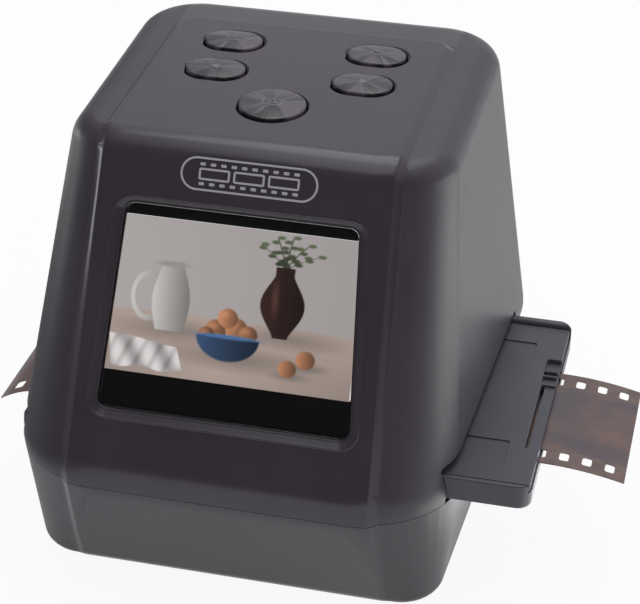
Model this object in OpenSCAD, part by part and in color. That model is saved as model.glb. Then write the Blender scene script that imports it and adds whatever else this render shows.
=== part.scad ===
// Desktop scanner for 35 mm film: a two-part housing with a sloped screen,
// five keys on top, a camera over a backlight, and a film tray that slides
// right through the housing. Millimetres, +Z up, +X towards the side that
// the tray is drawn out of, -Y towards the user.
// The origin is the middle of the flat underside of the base.

/* [Housing] */
// Half width of the sides where they are widest
side_half_w = 46.8; // [46:0.1:56]
// Height of that widest level
side_ref_z = 32; // [30:0.5:36]
// Lean of each side towards the middle, above the widest level
side_lean = 6.3; // [4:0.1:8]
// Half width of the sides at the underside
foot_half_w = 44; // [43:0.1:54]
// How much wider each side is at the back, from the widest level down
rear_flare = 2.6; // [0:0.1:3]
// How much wider each side is at the back of the top
top_flare = 0.5; // [0:0.1:1.5]
// Where the front slope would meet the underside's level
front_foot_y = -63.8; // [-70:0.1:-62]
// Lean of the front slope away from the user
front_lean = 23.9; // [20:0.1:25]
// Front edge of the underside
chin_foot_y = -38; // [-40:0.5:-34]
// Lean of the chin below the widest level
chin_lean = 22.3; // [20:0.1:26]
// Height of the top face where the key layout starts
top_z = 95; // [90:0.5:112]
// Distance behind the origin of that place
top_ref_y = -18.5; // [-20:0.5:-16]
// Rise of the top face towards the back
top_rise = 1.9; // [0:0.1:4]
// Back face at the height of the widest level
rear_y = 52.2; // [52:0.1:62]
// Lean of the back face above the widest level
rear_lean = 1.5; // [0:0.1:4]
// Back edge of the underside
rear_foot_y = 48; // [46:0.5:56]
// Wall thickness
wall = 2; // [1.6:0.1:2.6]
// Height of the joint between base and upper housing
parting_z = 28; // [27:0.5:29]
// How far the middle band stands proud
band_h = 1; // [0.5:0.1:1.5]
// Half width of the band at the top face
band_top_w = 30.4; // [28:0.1:33]
// Half width of the band at the chin
band_chin_w = 32.1; // [29:0.1:34]
// Half width of the band at the underside
band_foot_w = 33.6; // [29:0.1:35]
// Back end of the band on the top face
band_end_y = 36.3; // [34:0.1:42]

/* [Corners] */
// Plan radius of the front corners at the top
top_front_r = 15; // [12:0.5:20]
// Plan radius of the front corners at the widest level
mid_front_r = 20; // [14:0.5:22]
// Plan radius of the front corners at the underside
foot_front_r = 9.5; // [8:0.5:20]
// Plan radius of the back corners
rear_r = 14; // [12:0.5:18]
// Rounding of the front edge of the top
top_front_edge = 6; // [4:0.5:9]
// Rounding of the back edge of the top
top_rear_edge = 6; // [5:0.5:11]
// Rounding of the bend above the chin
bend_edge = 10; // [6:0.5:12]
// Rounding of the underside's edge
foot_edge = 4; // [2.5:0.5:4.5]

/* [Screen] */
// Half width of the window at its upper edge
window_top_w = 23.8; // [22:0.1:25]
// Half width of the window at its lower edge
window_low_w = 26.1; // [24:0.1:27]
// Lower edge of the window, along the front slope
window_low = 48.9; // [46:0.1:52]
// Upper edge of the window, along the front slope
window_top = 89.6; // [86:0.1:91]
// Thickness of the window
window_t = 1; // [0.8:0.1:1.5]
// Depth of the window below the band
window_depth = 0.9; // [0.5:0.1:1.2]
// Width of the sloped frame round the window
window_frame = 1.8; // [1:0.1:2.5]
// Rounding of the window's corners
window_corner_r = 2; // [1:0.5:4]
// Width of the display panel
lcd_w = 60.2; // [55:0.1:61]
// Height of the display panel
lcd_h = 42.7; // [40:0.1:44]
// Thickness of the display panel
lcd_t = 2.5; // [2:0.1:3]
// Middle of the display panel, along the front slope
lcd_mid = 70.5; // [68:0.1:74]

/* [Keys] */
// Length of an oval key
key_w = 12.7; // [11:0.1:14]
// Width of an oval key
key_d = 9.3; // [8:0.1:10]
// Diameter of the round key
round_key_d = 14; // [12:0.1:15]
// Distance of the oval keys from the middle
key_x = 15.84; // [15:0.01:16.5]
// Place of the back oval keys behind the start of the layout
key_back = 43.9; // [43:0.1:46]
// Place of the front oval keys
key_front = 29.6; // [28.5:0.1:31]
// Place of the round key
key_round = 16; // [15:0.1:16.5]
// How far a key stands above the band
key_proud = 1; // [0.8:0.1:1.5]
// Gap round a key
key_gap = 0.3; // [0.25:0.05:0.5]

/* [Film tray] */
// Length of the tray
tray_l = 108; // [100:1:130]
// Width of the tray
tray_w = 66; // [60:0.5:66]
// Height of the tray without its back rim
tray_h = 5.2; // [5:0.1:5.5]
// Height of the back rim above the tray's underside
rim_h = 6.2; // [5.8:0.1:6.4]
// How far the tray is drawn out at rest
tray_out = 8; // [0:1:20]
// Middle of the tray, front to back
tray_y = -3.5; // [-5:0.5:-2]
// Underside of the tray
tray_z = 29; // [29:0.1:29.5]
// Gap at each edge of the tray
tray_gap = 0.4; // [0.3:0.05:0.8]
// Height of the slot above the joint of the housing
slot_h = 8; // [7.5:0.1:9]

/* [Film] */
// Width of the film
film_w = 35; // [34:0.1:35]
// Length of the strip
film_l = 135; // [110:1:160]
// Thickness of the film
film_t = 0.2; // [0.15:0.05:0.3]
// Middle of the film, front to back
film_y = -5.9; // [-7:0.1:-5]
// Height of the film's middle plane
film_z = 32; // [31.9:0.1:32.1]
// How far the strip's middle lies towards +X at rest
film_out = 12; // [0:0.5:20]
// Spacing of the perforations
perf_pitch = 4.75; // [4.7:0.01:4.8]
// Length of a perforation, across the strip
perf_l = 2.8; // [2.5:0.1:3]
// Width of a perforation, along the strip
perf_w = 1.98; // [1.8:0.01:2.1]
// Distance of a row of perforations from the middle of the film
perf_row = 14.09; // [13.9:0.01:14.2]

/* [Camera and light] */
// Length of the picture gate
gate_l = 37; // [36.5:0.5:40]
// Width of the picture gate
gate_w = 25; // [24.5:0.5:27]
// Diameter of the lens barrel
barrel_d = 13; // [10:0.5:16]
// Length of the lens barrel
barrel_l = 17; // [14:0.5:18]
// Thickness of the circuit boards
board_t = 1.6; // [1:0.1:2]

/* [Hidden] */

eps = 0.01; // overlap of cuts
shell_fn = 32; // facets of the housing's round corners
housing_grey = [0.2, 0.2, 0.21];
board_green = [0.08, 0.3, 0.16];
steel = [0.72, 0.72, 0.74];
black = [0.05, 0.05, 0.06];

// A line in a side view, as a unit normal and its distance from the origin
function face_line(normal, point) = [normal, normal * point];
function drawn_in(line, by) = [line[0], line[1] - by];
function cross_point(a, b) =
    let (det = a[0][0] * b[0][1] - a[0][1] * b[0][0])
    [(a[1] * b[0][1] - b[1] * a[0][1]) / det, (a[0][0] * b[1] - b[0][0] * a[1]) / det];
function at_height(line, z) = (line[1] - line[0][1] * z) / line[0][0];

// Faces of the housing without its band, in a side view (y, z) and a front view (x, z)
front_line = drawn_in(face_line([-cos(front_lean), sin(front_lean)], [front_foot_y, 0]), band_h);
chin_line = drawn_in(face_line([-cos(chin_lean), -sin(chin_lean)], [chin_foot_y, 0]), band_h);
top_line = drawn_in(face_line([-sin(top_rise), cos(top_rise)], [top_ref_y, top_z]), band_h);
foot_line = face_line([0, -1], [0, 0]);
rear_line = face_line([cos(rear_lean), sin(rear_lean)], [rear_y, side_ref_z]);
rear_foot_lean = atan((rear_y - rear_foot_y) / side_ref_z);
rear_foot_line = face_line([cos(rear_foot_lean), -sin(rear_foot_lean)], [rear_foot_y, 0]);
side_line = face_line([cos(side_lean), sin(side_lean)], [side_half_w, side_ref_z]);
foot_lean = atan((side_half_w - foot_half_w) / side_ref_z);
side_foot_line = face_line([cos(foot_lean), -sin(foot_lean)], [foot_half_w, 0]);

// One corner: [x, y, z of its centre, plan radius, edge radius]. The two face lines meet
// at its edge, lateral is the side's line there and towards is -1 at the front
function corner(face_a, face_b, lateral, plan_r, edge_r, towards, flare) =
    let (tube = cross_point(drawn_in(face_a, edge_r), drawn_in(face_b, edge_r)))
    [
        at_height(drawn_in(lateral, edge_r), tube[1]) - (plan_r - edge_r) + flare,
        tube[0] - towards * (plan_r - edge_r),
        tube[1],
        plan_r,
        edge_r
    ];
corners = [
    corner(front_line, top_line, side_line, top_front_r, top_front_edge, -1, 0),
    corner(rear_line, top_line, side_line, rear_r, top_rear_edge, 1, top_flare),
    corner(front_line, chin_line, side_line, mid_front_r, bend_edge, -1, 0),
    corner(rear_line, rear_foot_line, side_line, rear_r, bend_edge, 1, rear_flare),
    corner(chin_line, foot_line, side_foot_line, foot_front_r, foot_edge, -1, 0),
    corner(rear_foot_line, foot_line, side_foot_line, rear_r, foot_edge, 1, rear_flare)
];

// Layout along the front slope: y runs up the slope and z stands out of the band
module on_front() {
    translate([0, front_foot_y, 0])
        rotate([90 - front_lean, 0, 0])
            children();
}

// Layout on the top face: y runs back and z stands out of the band
module on_top() {
    translate([0, top_ref_y, top_z])
        rotate([top_rise, 0, 0])
            children();
}

band_wall = wall + band_h; // wall where the band backs it
window_ledge = 0.6; // seat round the window's edge
lcd_face = -band_wall - 0.3; // front of the display panel
lcd_back = lcd_face - lcd_t;
bracket_t = 1.5;
bracket_back = lcd_back - bracket_t;
lcd_boss_r = 2;
lcd_screw_x = lcd_w / 2 + lcd_boss_r + 0.4;
lcd_screws_at = [
    for (y = [lcd_mid - 15, lcd_mid + 7]) for (x = [-lcd_screw_x, lcd_screw_x]) [x, y]
];
flange_top = -band_wall - 0.3; // top of a key's flange, below the wall
flange_t = 1;
key_foot = flange_top - flange_t - 1.7; // lower end of a key's stem
plunger_l = 2.5;
switch_top = key_foot - 1.2;
switch_h = 3.4;
switch_w = 6;
switch_bore_r = 1.75;
plunger_r = 1.7;
switch_board = switch_top - switch_h - board_t; // underside of the button board
key_places = [
    [-key_x, key_back], [key_x, key_back], [-key_x, key_front], [key_x, key_front], [0, key_round]
];
key_post_x = 22;
key_posts = [for (y = [11, 52.5]) for (x = [-key_post_x, key_post_x]) [x, y]];

tray_front = tray_y - tray_w / 2;
tray_back = tray_y + tray_w / 2;
slot_front = tray_front - tray_gap;
slot_back = tray_back + tray_gap;
slot_top = parting_z + slot_h;
deck_top = tray_z - tray_gap;
deck_t = 2.2;
deck_wall = 5; // thickness of the deck's two guide walls
deck_half_l = 35.5;
deck_front = slot_front - deck_wall;
deck_back = slot_back + deck_wall;
guide_top = slot_top + 0.3;
deck_post_x = 32;
deck_posts = [for (y = [-27, 24]) for (x = [-deck_post_x, deck_post_x]) [x, y]];
frame_t = 2; // plate of the optical frame
frame_half_l = 30;
frame_back = 47.5;
frame_screw_x = 20;
frame_screws = [
    for (y = [deck_front + deck_wall / 2, deck_back - deck_wall / 2])
        for (x = [-frame_screw_x, frame_screw_x]) [x, y]
];
tower_z = guide_top + frame_t;
tower_h = 28;
tower_low_r = 22;
tower_top_r = 12;
tower_top = tower_z + tower_h;
barrel_r = barrel_d / 2;
barrel_bore_r = barrel_r - 1.5;
barrel_z = tower_top - 7;
barrel_top = barrel_z + barrel_l;
sensor_board_z = barrel_top + 1.5;
sensor_board_w = 24;
sensor_post_x = max(9.5, barrel_r + 2.6);
board_z = tower_z + 3.7; // underside of the main board
board_front = 18;
board_back = 48;
board_half_l = 30;
board_posts = [for (y = [22, 32.4]) for (x = [-27, 27]) [x, y]];
port_z = board_z + board_t;
card_w = 26;
card_h = 3.2;
card_x = -12;
usb_w = 8;
usb_h = 4;
usb_x = 11;
jack_x = 24;
jack_r = 3;
jack_bore_r = 1.8;
box_l = 50; // light box, outside
box_w = 38;
box_wall = 1.5;
led_board_z = 5;
box_z = led_board_z + board_t;
box_top = deck_top - deck_t;
diffuser_t = 1.5;
case_screw_x = 35;
case_screw_y = 41;
case_boss_r = 4.5;
case_boss_top = 42;
case_head_z = 18; // seat of the case screws' heads
screw_pilot = 0.05; // clearance round a screw in its own hole
foot_r = 5;
foot_sink = 0.8;
foot_proud = 0.8;
foot_places = [for (y = [-22, 30]) for (x = [-33, 33]) [x, y]];
film_land_z = tray_z + 2.4; // floor of the film channel
cover_z = tray_z + 3.4; // underside of the tray's cover
channel_gap = 0.25; // beside the film
tray_corner_r = 3;
tray_rim = 1.2; // front wall of the tray
back_rim = 2.5; // back wall of the tray
end_bar_x = 2.6; // from the tray's end to the slit
slit_w = 0.8;

// ---- shared shapes ----

module corner_ring(c, inset) {
    major = c[3] - c[4];
    translate([c[0], c[1], c[2]])
        rotate_extrude($fn = shell_fn)
            intersection() {
                translate([major, 0])
                    circle(r = c[4] - inset, $fn = shell_fn);
                translate([0, -c[4]])
                    square([c[3] + 2, 2 * c[4]]);
            }
}

// The housing as one convex form, drawn in all round. Grown instead, it keeps its underside
module housing_form(inset) {
    hull()
        for (i = [0 : len(corners) - 1]) {
            lift = i < 4 ? 0 : max(0, -inset);
            for (side = [0, 1])
                mirror([side, 0, 0])
                    translate([0, 0, lift])
                        corner_ring(corners[i], inset);
        }
}

// Everything the middle band covers, as seen from the front and from above
module band_zone() {
    slant = (band_chin_w - band_top_w) / (top_z - side_ref_z);
    end_r = 4;
    intersection() {
        translate([0, 60, 0])
            rotate([90, 0, 0])
                linear_extrude(130)
                    polygon([
                        [-band_foot_w, 0], [band_foot_w, 0], [band_chin_w, side_ref_z],
                        [band_top_w - slant * 10, top_z + 10], [slant * 10 - band_top_w, top_z + 10],
                        [-band_chin_w, side_ref_z]
                    ]);
        union() {
            translate([-50, -70, 0])
                cube([100, band_end_y + 70 - end_r, 120]);
            translate([end_r - band_top_w, -70, 0])
                cube([2 * (band_top_w - end_r), band_end_y + 70, 120]);
            for (side = [-1, 1])
                translate([side * (band_top_w - end_r), band_end_y - end_r, 0])
                    cylinder(r = end_r, h = 120, $fn = 48);
        }
    }
}

module housing_outside() {
    housing_form(0);
    intersection() {
        housing_form(-band_h);
        band_zone();
    }
}

module above_parting() {
    translate([-80, -80, parting_z])
        cube([160, 160, 120]);
}

module below_parting() {
    translate([-80, -80, -10])
        cube([160, 160, parting_z + 10]);
}

// An oval made of two half circles and a bar
module oval(w, d, h) {
    for (side = [-1, 1])
        translate([side * (w - d) / 2, 0, 0])
            cylinder(d = d, h = h, $fn = 48);
    translate([-(w - d) / 2, -d / 2, 0])
        cube([w - d, d, h]);
}

// Right half of the window's outline, grown outwards: two rounded corners
function window_half(grow) =
    let (
        slant = atan((window_low_w - window_top_w) / (window_top - window_low)),
        side = face_line([cos(slant), sin(slant)], [window_low_w, window_low]),
        edge = drawn_in(side, window_corner_r),
        low = window_low + window_corner_r,
        top = window_top - window_corner_r,
        r = window_corner_r + grow,
        steps = 6
    )
    concat(
        [for (i = [0 : steps]) let (a = (90 + slant) * i / steps - 90)
            [at_height(edge, low) + r * cos(a), low + r * sin(a)]],
        [for (i = [0 : steps]) let (a = slant + (90 - slant) * i / steps)
            [at_height(edge, top) + r * cos(a), top + r * sin(a)]]
    );

module window_outline(grow) {
    half = window_half(grow);
    polygon(concat(half, [for (i = [len(half) - 1 : -1 : 0]) [-half[i][0], half[i][1]]]));
}

// A pan head screw whose head's underside is at z = 0 and whose shank points down
module screw(r, l, head_r, head_h) {
    difference() {
        union() {
            cylinder(r = head_r, h = head_h, $fn = 32);
            translate([0, 0, -l])
                cylinder(r = r, h = l + eps, $fn = 24);
        }
        for (turn = [0, 90])
            rotate([0, 0, turn])
                translate([-head_r * 0.6, -head_r * 0.12, head_h * 0.5])
                    cube([head_r * 1.2, head_r * 0.24, head_h]);
    }
}

// Sideways step at point i of a bent strip, along the mitre of its two runs
function mitre(points, i, half) =
    let (
        before = points[i] - points[max(i - 1, 0)],
        after = points[min(i + 1, len(points) - 1)] - points[i],
        a = i > 0 ? before / norm(before) : after / norm(after),
        b = i < len(points) - 1 ? after / norm(after) : a,
        middle = (a + b) / norm(a + b)
    )
    half / (middle * a) * [-middle[1], middle[0]];

// A flat cable: a strip of thickness t along points (y, z), w wide in x
module flat_cable(x, w, t, points) {
    last = len(points) - 1;
    translate([x - w / 2, 0, 0])
        rotate([90, 0, 90])
            linear_extrude(w)
                polygon(concat(
                    [for (i = [0 : last]) points[i] + mitre(points, i, t / 2)],
                    [for (i = [last : -1 : 0]) points[i] - mitre(points, i, t / 2)]
                ));
}

// ---- housing ----

module upper_housing() {
    color(housing_grey)
        difference() {
            union() {
                intersection() {
                    difference() {
                        housing_outside();
                        housing_form(wall);
                    }
                    above_parting();
                }
                intersection() {
                    housing_form(wall / 2);
                    on_front()
                        for (p = lcd_screws_at)
                            translate([p[0], p[1], lcd_back])
                                cylinder(r = lcd_boss_r, h = -lcd_back, $fn = 32);
                }
                on_top()
                    for (p = key_posts)
                        translate([p[0], p[1], switch_board + board_t])
                            cylinder(r = 2.5, h = -switch_board - board_t - wall, $fn = 32);
                intersection() {
                    housing_form(wall / 2);
                    for (side = [-1, 1])
                        translate([side * case_screw_x, case_screw_y, parting_z])
                            case_boss(side, case_boss_top - parting_z);
                }
            }
            window_cuts();
            on_front()
                lcd_pocket();
            on_top()
                key_holes();
            on_top()
                for (p = key_posts)
                    translate([p[0], p[1], switch_board + board_t - eps])
                        cylinder(r = 0.9 + screw_pilot, h = 6, $fn = 24);
            on_front()
                for (p = lcd_screws_at)
                    translate([p[0], p[1], lcd_back - eps])
                        cylinder(r = 0.7 + screw_pilot, h = 1, $fn = 24);
            for (x = [-case_screw_x, case_screw_x])
                translate([x, case_screw_y, parting_z - eps])
                    cylinder(r = 1.3 + screw_pilot, h = 11, $fn = 24);
            tray_slots();
            rear_openings();
        }
}

// A boss with two ribs that reach through the side and the back wall
module case_boss(side, h) {
    rib_t = 1.6;
    rib_l = 20;
    cylinder(r = case_boss_r, h = h, $fn = 32);
    translate([side > 0 ? 0 : -rib_l, -rib_t / 2, 0])
        cube([rib_l, rib_t, h]);
    translate([-rib_t / 2, 0, 0])
        cube([rib_t, rib_l, h]);
}

module window_cuts() {
    on_front() {
        translate([0, 0, -window_depth - window_t])
            linear_extrude(10)
                window_outline(0.15);
        translate([0, 0, -10])
            linear_extrude(20)
                window_outline(-window_ledge);
        hull() {
            translate([0, 0, 0])
                linear_extrude(0.1)
                    window_outline(window_frame);
            translate([0, 0, -window_depth])
                linear_extrude(0.1)
                    window_outline(0.15);
        }
    }
}

// Room for the display panel where the wall curves into the corners
module lcd_pocket() {
    room = 0.3;
    translate([-lcd_w / 2 - room, lcd_mid - lcd_h / 2 - room, bracket_back - 2])
        cube([lcd_w + 2 * room, lcd_h + 2 * room, lcd_face - bracket_back + 2 + 0.1]);
}

module key_holes() {
    for (i = [0 : 3])
        translate([key_places[i][0], key_places[i][1], -band_wall - 2])
            oval(key_w + 2 * key_gap, key_d + 2 * key_gap, band_wall + 4);
    translate([key_places[4][0], key_places[4][1], -band_wall - 2])
        cylinder(d = round_key_d + 2 * key_gap, h = band_wall + 4, $fn = 64);
}

module tray_slots() {
    translate([-60, slot_front, parting_z - eps])
        cube([120, slot_back - slot_front, slot_h + eps]);
    difference() {
        for (side = [-1, 1])
            translate([side * (side_half_w + 5) - 10, slot_back - eps, parting_z - eps])
                cube([20, 15, 3]);
        housing_form(0.8);
    }
}

module rear_openings() {
    translate([card_x - card_w / 2, board_back, port_z - 0.2])
        cube([card_w, 10, card_h + 0.4]);
    translate([usb_x - usb_w / 2 - 0.3, board_back, port_z - 0.3])
        cube([usb_w + 0.6, 10, usb_h + 0.6]);
    translate([jack_x, board_back, port_z + jack_r])
        rotate([-90, 0, 0])
            cylinder(r = jack_r + 0.3, h = 10, $fn = 32);
}

module base_housing() {
    hook_w = 8;
    hook_root = 4.5; // below the joint, where it joins the wall
    hook_rise = 3.5; // above the joint
    hook_y = at_height(drawn_in(chin_line, wall + 0.3), parting_z);
    color(housing_grey)
        difference() {
            union() {
                intersection() {
                    difference() {
                        housing_outside();
                        housing_form(wall);
                    }
                    below_parting();
                }
                for (x = [-case_screw_x, case_screw_x])
                    translate([x, case_screw_y, wall / 2])
                        cylinder(r = case_boss_r, h = parting_z - wall / 2, $fn = 32);
                for (p = deck_posts)
                    translate([p[0], p[1], wall / 2])
                        cylinder(r = 3, h = box_top - wall / 2, $fn = 32);
                for (x = [-20, 20])
                    for (y = [-15, 15])
                        translate([x, film_y + y, wall / 2])
                            cylinder(r = 2, h = led_board_z - wall / 2, $fn = 24);
                for (x = [-18, 18])
                    translate([x - hook_w / 2, hook_y, parting_z - hook_root])
                        cube([hook_w, 1.8, hook_root + hook_rise]);
            }
            for (x = [-case_screw_x, case_screw_x])
                translate([x, case_screw_y, -eps]) {
                    cylinder(r = 2.9, h = case_head_z + eps, $fn = 32);
                    cylinder(r = 1.6, h = 40, $fn = 24);
                }
            for (p = deck_posts)
                translate([p[0], p[1], box_top - 10])
                    cylinder(r = 1.1 + screw_pilot, h = 12, $fn = 24);
            for (p = foot_places)
                translate([p[0], p[1], -eps])
                    cylinder(r = foot_r + 0.1, h = foot_sink + eps, $fn = 48);
            for (side = [-1, 1])
                translate([side * (side_half_w + 0.2), slot_front, parting_z])
                    rotate([0, side * 40, 0])
                        translate([-3, 0, 0])
                            cube([6, slot_back - slot_front, 4]);
        }
}

module rubber_feet() {
    color(black)
        for (p = foot_places)
            translate([p[0], p[1], -foot_proud])
                cylinder(r = foot_r, h = foot_proud + foot_sink, $fn = 48);
}

module case_screws() {
    color(steel)
        for (x = [-case_screw_x, case_screw_x])
            translate([x, case_screw_y, case_head_z])
                rotate([180, 0, 0])
                    screw(1.3, 20, 2.6, 1.8);
}

// ---- display ----

module screen_window() {
    color([0.02, 0.02, 0.03, 0.6])
        on_front()
            translate([0, 0, -window_depth - window_t])
                linear_extrude(window_t)
                    window_outline(0);
}

module lcd_panel() {
    color([0.1, 0.1, 0.12])
        on_front()
            translate([-lcd_w / 2, lcd_mid - lcd_h / 2, lcd_back])
                cube([lcd_w, lcd_h, lcd_t]);
}

module lcd_bracket() {
    ear_r = lcd_boss_r - 0.4;
    color(steel)
        on_front()
            difference() {
                union() {
                    translate([-lcd_w / 2, lcd_mid - lcd_h / 2, bracket_back])
                        cube([lcd_w, lcd_h, bracket_t]);
                    for (p = lcd_screws_at) {
                        translate([-lcd_screw_x, p[1] - ear_r, bracket_back])
                            cube([2 * lcd_screw_x, 2 * ear_r, bracket_t]);
                        translate([p[0], p[1], bracket_back])
                            cylinder(r = ear_r, h = bracket_t, $fn = 32);
                    }
                }
                translate([-lcd_w / 2 + 8, lcd_mid - 8, bracket_back - eps])
                    cube([lcd_w - 16, 12, bracket_t + 2 * eps]);
                for (p = lcd_screws_at)
                    translate([p[0], p[1], bracket_back - eps])
                        cylinder(r = 0.8, h = bracket_t + 2 * eps, $fn = 24);
            }
}

module lcd_screws() {
    color(steel)
        on_front()
            for (p = lcd_screws_at)
                translate([p[0], p[1], bracket_back])
                    rotate([180, 0, 0])
                        screw(0.7, 2.3, 1.4, 0.8);
}

module lcd_cable() {
    strip_x = 28;
    back_line = drawn_in(front_line, 0.3 - band_h - bracket_back);
    start_z = port_z + 10;
    fold_z = port_z + 4.5;
    flat_z = port_z + 0.2;
    color([0.75, 0.5, 0.2])
        flat_cable(strip_x, 4, 0.4, [
            [at_height(back_line, start_z), start_z], [at_height(back_line, fold_z), fold_z],
            [at_height(back_line, fold_z) + 3, flat_z], [board_front + 1.8, flat_z]
        ]);
}

// ---- main board ----

module main_board() {
    color(board_green)
        difference() {
            translate([-board_half_l, board_front, board_z])
                cube([2 * board_half_l, board_back - board_front, board_t]);
            for (p = board_posts)
                translate([p[0], p[1], board_z - eps])
                    cylinder(r = 1.2, h = board_t + 2 * eps, $fn = 24);
        }
}

module processor_chip() {
    color(black)
        translate([6, 21, port_z])
            cube([12, 12, 1.2]);
}

module memory_chips() {
    color(black)
        for (y = [19.5, 27])
            translate([19.5, y, port_z])
                cube([5, 6, 1]);
}

module board_capacitors() {
    color([0.7, 0.6, 0.35])
        for (i = [0 : 2])
            translate([3.2 + i * 3.7, 36.5, port_z])
                cylinder(r = 1.6, h = 4.2, $fn = 24);
}

module main_board_screws() {
    color(steel)
        for (p = board_posts)
            translate([p[0], p[1], port_z])
                screw(0.9, 4, 1.8, 1.2);
}

module card_slot() {
    shell_t = 0.4;
    card_l = 28;
    color(steel)
        difference() {
            translate([card_x - card_w / 2, board_back + 1.5 - card_l, port_z])
                cube([card_w, card_l, card_h]);
            translate([card_x - card_w / 2 + shell_t, board_back + 3 - card_l, port_z + shell_t])
                cube([card_w - 2 * shell_t, card_l, card_h - 2 * shell_t]);
        }
}

module usb_port() {
    shell_t = 0.35;
    plug_l = 9;
    y = board_back + 2 - plug_l;
    color(steel)
        difference() {
            translate([usb_x - usb_w / 2, y, port_z])
                cube([usb_w, plug_l, usb_h]);
            translate([usb_x - usb_w / 2 + shell_t, y + 2, port_z + shell_t])
                cube([usb_w - 2 * shell_t, plug_l, usb_h - 2 * shell_t]);
        }
    color(black)
        translate([usb_x - 2.4, y + 1.9, port_z + usb_h / 2 - 0.4])
            cube([4.8, plug_l - 3.5, 0.8]);
}

module video_port() {
    jack_l = 11;
    color(black)
        translate([jack_x, board_back + 2.2, port_z + jack_r])
            rotate([90, 0, 0])
                difference() {
                    union() {
                        cylinder(r = jack_r, h = jack_l, $fn = 32);
                        translate([-jack_r, -jack_r, 3])
                            cube([2 * jack_r, 2 * jack_r, jack_l - 3]);
                    }
                    translate([0, 0, -eps])
                        cylinder(r = jack_bore_r, h = jack_l - 1.5, $fn = 32);
                }
}

// ---- keys ----

module key_cap(p) {
    on_top()
        translate([p[0], p[1], 0]) {
            translate([0, 0, flange_top - flange_t])
                oval(key_w + 1.6, key_d + 1.6, flange_t);
            translate([0, 0, flange_top - eps])
                oval(key_w, key_d, key_proud - flange_top - 0.4);
            translate([0, 0, key_proud - 0.4 - eps])
                oval(key_w - 1.2, key_d - 1.2, 0.4 + eps);
            translate([0, 0, key_foot])
                cylinder(r = 2.5, h = flange_top - flange_t - key_foot + eps, $fn = 32);
        }
}

module key_back_left() {
    color(black)
        key_cap(key_places[0]);
}

module key_back_right() {
    color(black)
        key_cap(key_places[1]);
}

module key_front_left() {
    color(black)
        key_cap(key_places[2]);
}

module key_front_right() {
    color(black)
        key_cap(key_places[3]);
}

module key_round_middle() {
    p = key_places[4];
    color(black)
        on_top()
            translate([p[0], p[1], 0]) {
                translate([0, 0, flange_top - flange_t])
                    cylinder(d = round_key_d + 1.6, h = flange_t, $fn = 64);
                translate([0, 0, flange_top - eps])
                    cylinder(d = round_key_d, h = key_proud - flange_top - 0.4, $fn = 64);
                translate([0, 0, key_proud - 0.4 - eps])
                    cylinder(d = round_key_d - 1.2, h = 0.4 + eps, $fn = 64);
                translate([0, 0, key_foot])
                    cylinder(r = 2.5, h = flange_top - flange_t - key_foot + eps, $fn = 32);
            }
}

// The moving stem of a key's switch
module plunger(p) {
    color("white")
        on_top()
            translate([p[0], p[1], key_foot - plunger_l])
                cylinder(r = plunger_r, h = plunger_l, $fn = 32);
}

module plunger_back_left() {
    plunger(key_places[0]);
}

module plunger_back_right() {
    plunger(key_places[1]);
}

module plunger_front_left() {
    plunger(key_places[2]);
}

module plunger_front_right() {
    plunger(key_places[3]);
}

module plunger_round_middle() {
    plunger(key_places[4]);
}

module switch_bases() {
    color([0.15, 0.15, 0.16])
        on_top()
            for (p = key_places)
                translate([p[0], p[1], switch_top - switch_h])
                    difference() {
                        translate([-switch_w / 2, -switch_w / 2, 0])
                            cube([switch_w, switch_w, switch_h]);
                        translate([0, 0, 0.6])
                            cylinder(r = switch_bore_r, h = switch_h, $fn = 32);
                    }
}

module button_board() {
    edge = 3;
    color(board_green)
        on_top()
            difference() {
                translate([-key_post_x - edge, key_posts[0][1] - edge, switch_board])
                    cube([
                        2 * key_post_x + 2 * edge,
                        key_posts[3][1] - key_posts[0][1] + 2 * edge,
                        board_t
                    ]);
                for (p = key_posts)
                    translate([p[0], p[1], switch_board - eps])
                        cylinder(r = 1.2, h = board_t + 2 * eps, $fn = 24);
            }
}

module button_board_screws() {
    color(steel)
        on_top()
            for (p = key_posts)
                translate([p[0], p[1], switch_board])
                    rotate([180, 0, 0])
                        screw(0.9, 6, 2, 1.2);
}

module button_cable() {
    strip_x = 22;
    drop_y = 38.5;
    start_z = top_z + switch_board;
    color([0.75, 0.5, 0.2])
        flat_cable(strip_x - 6, 6, 0.4, [
            [30, start_z + 1.2], [drop_y - 2, start_z - 0.5], [drop_y, start_z - 5],
            [drop_y, port_z + 0.3]
        ]);
}

// ---- camera over the film ----

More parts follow.
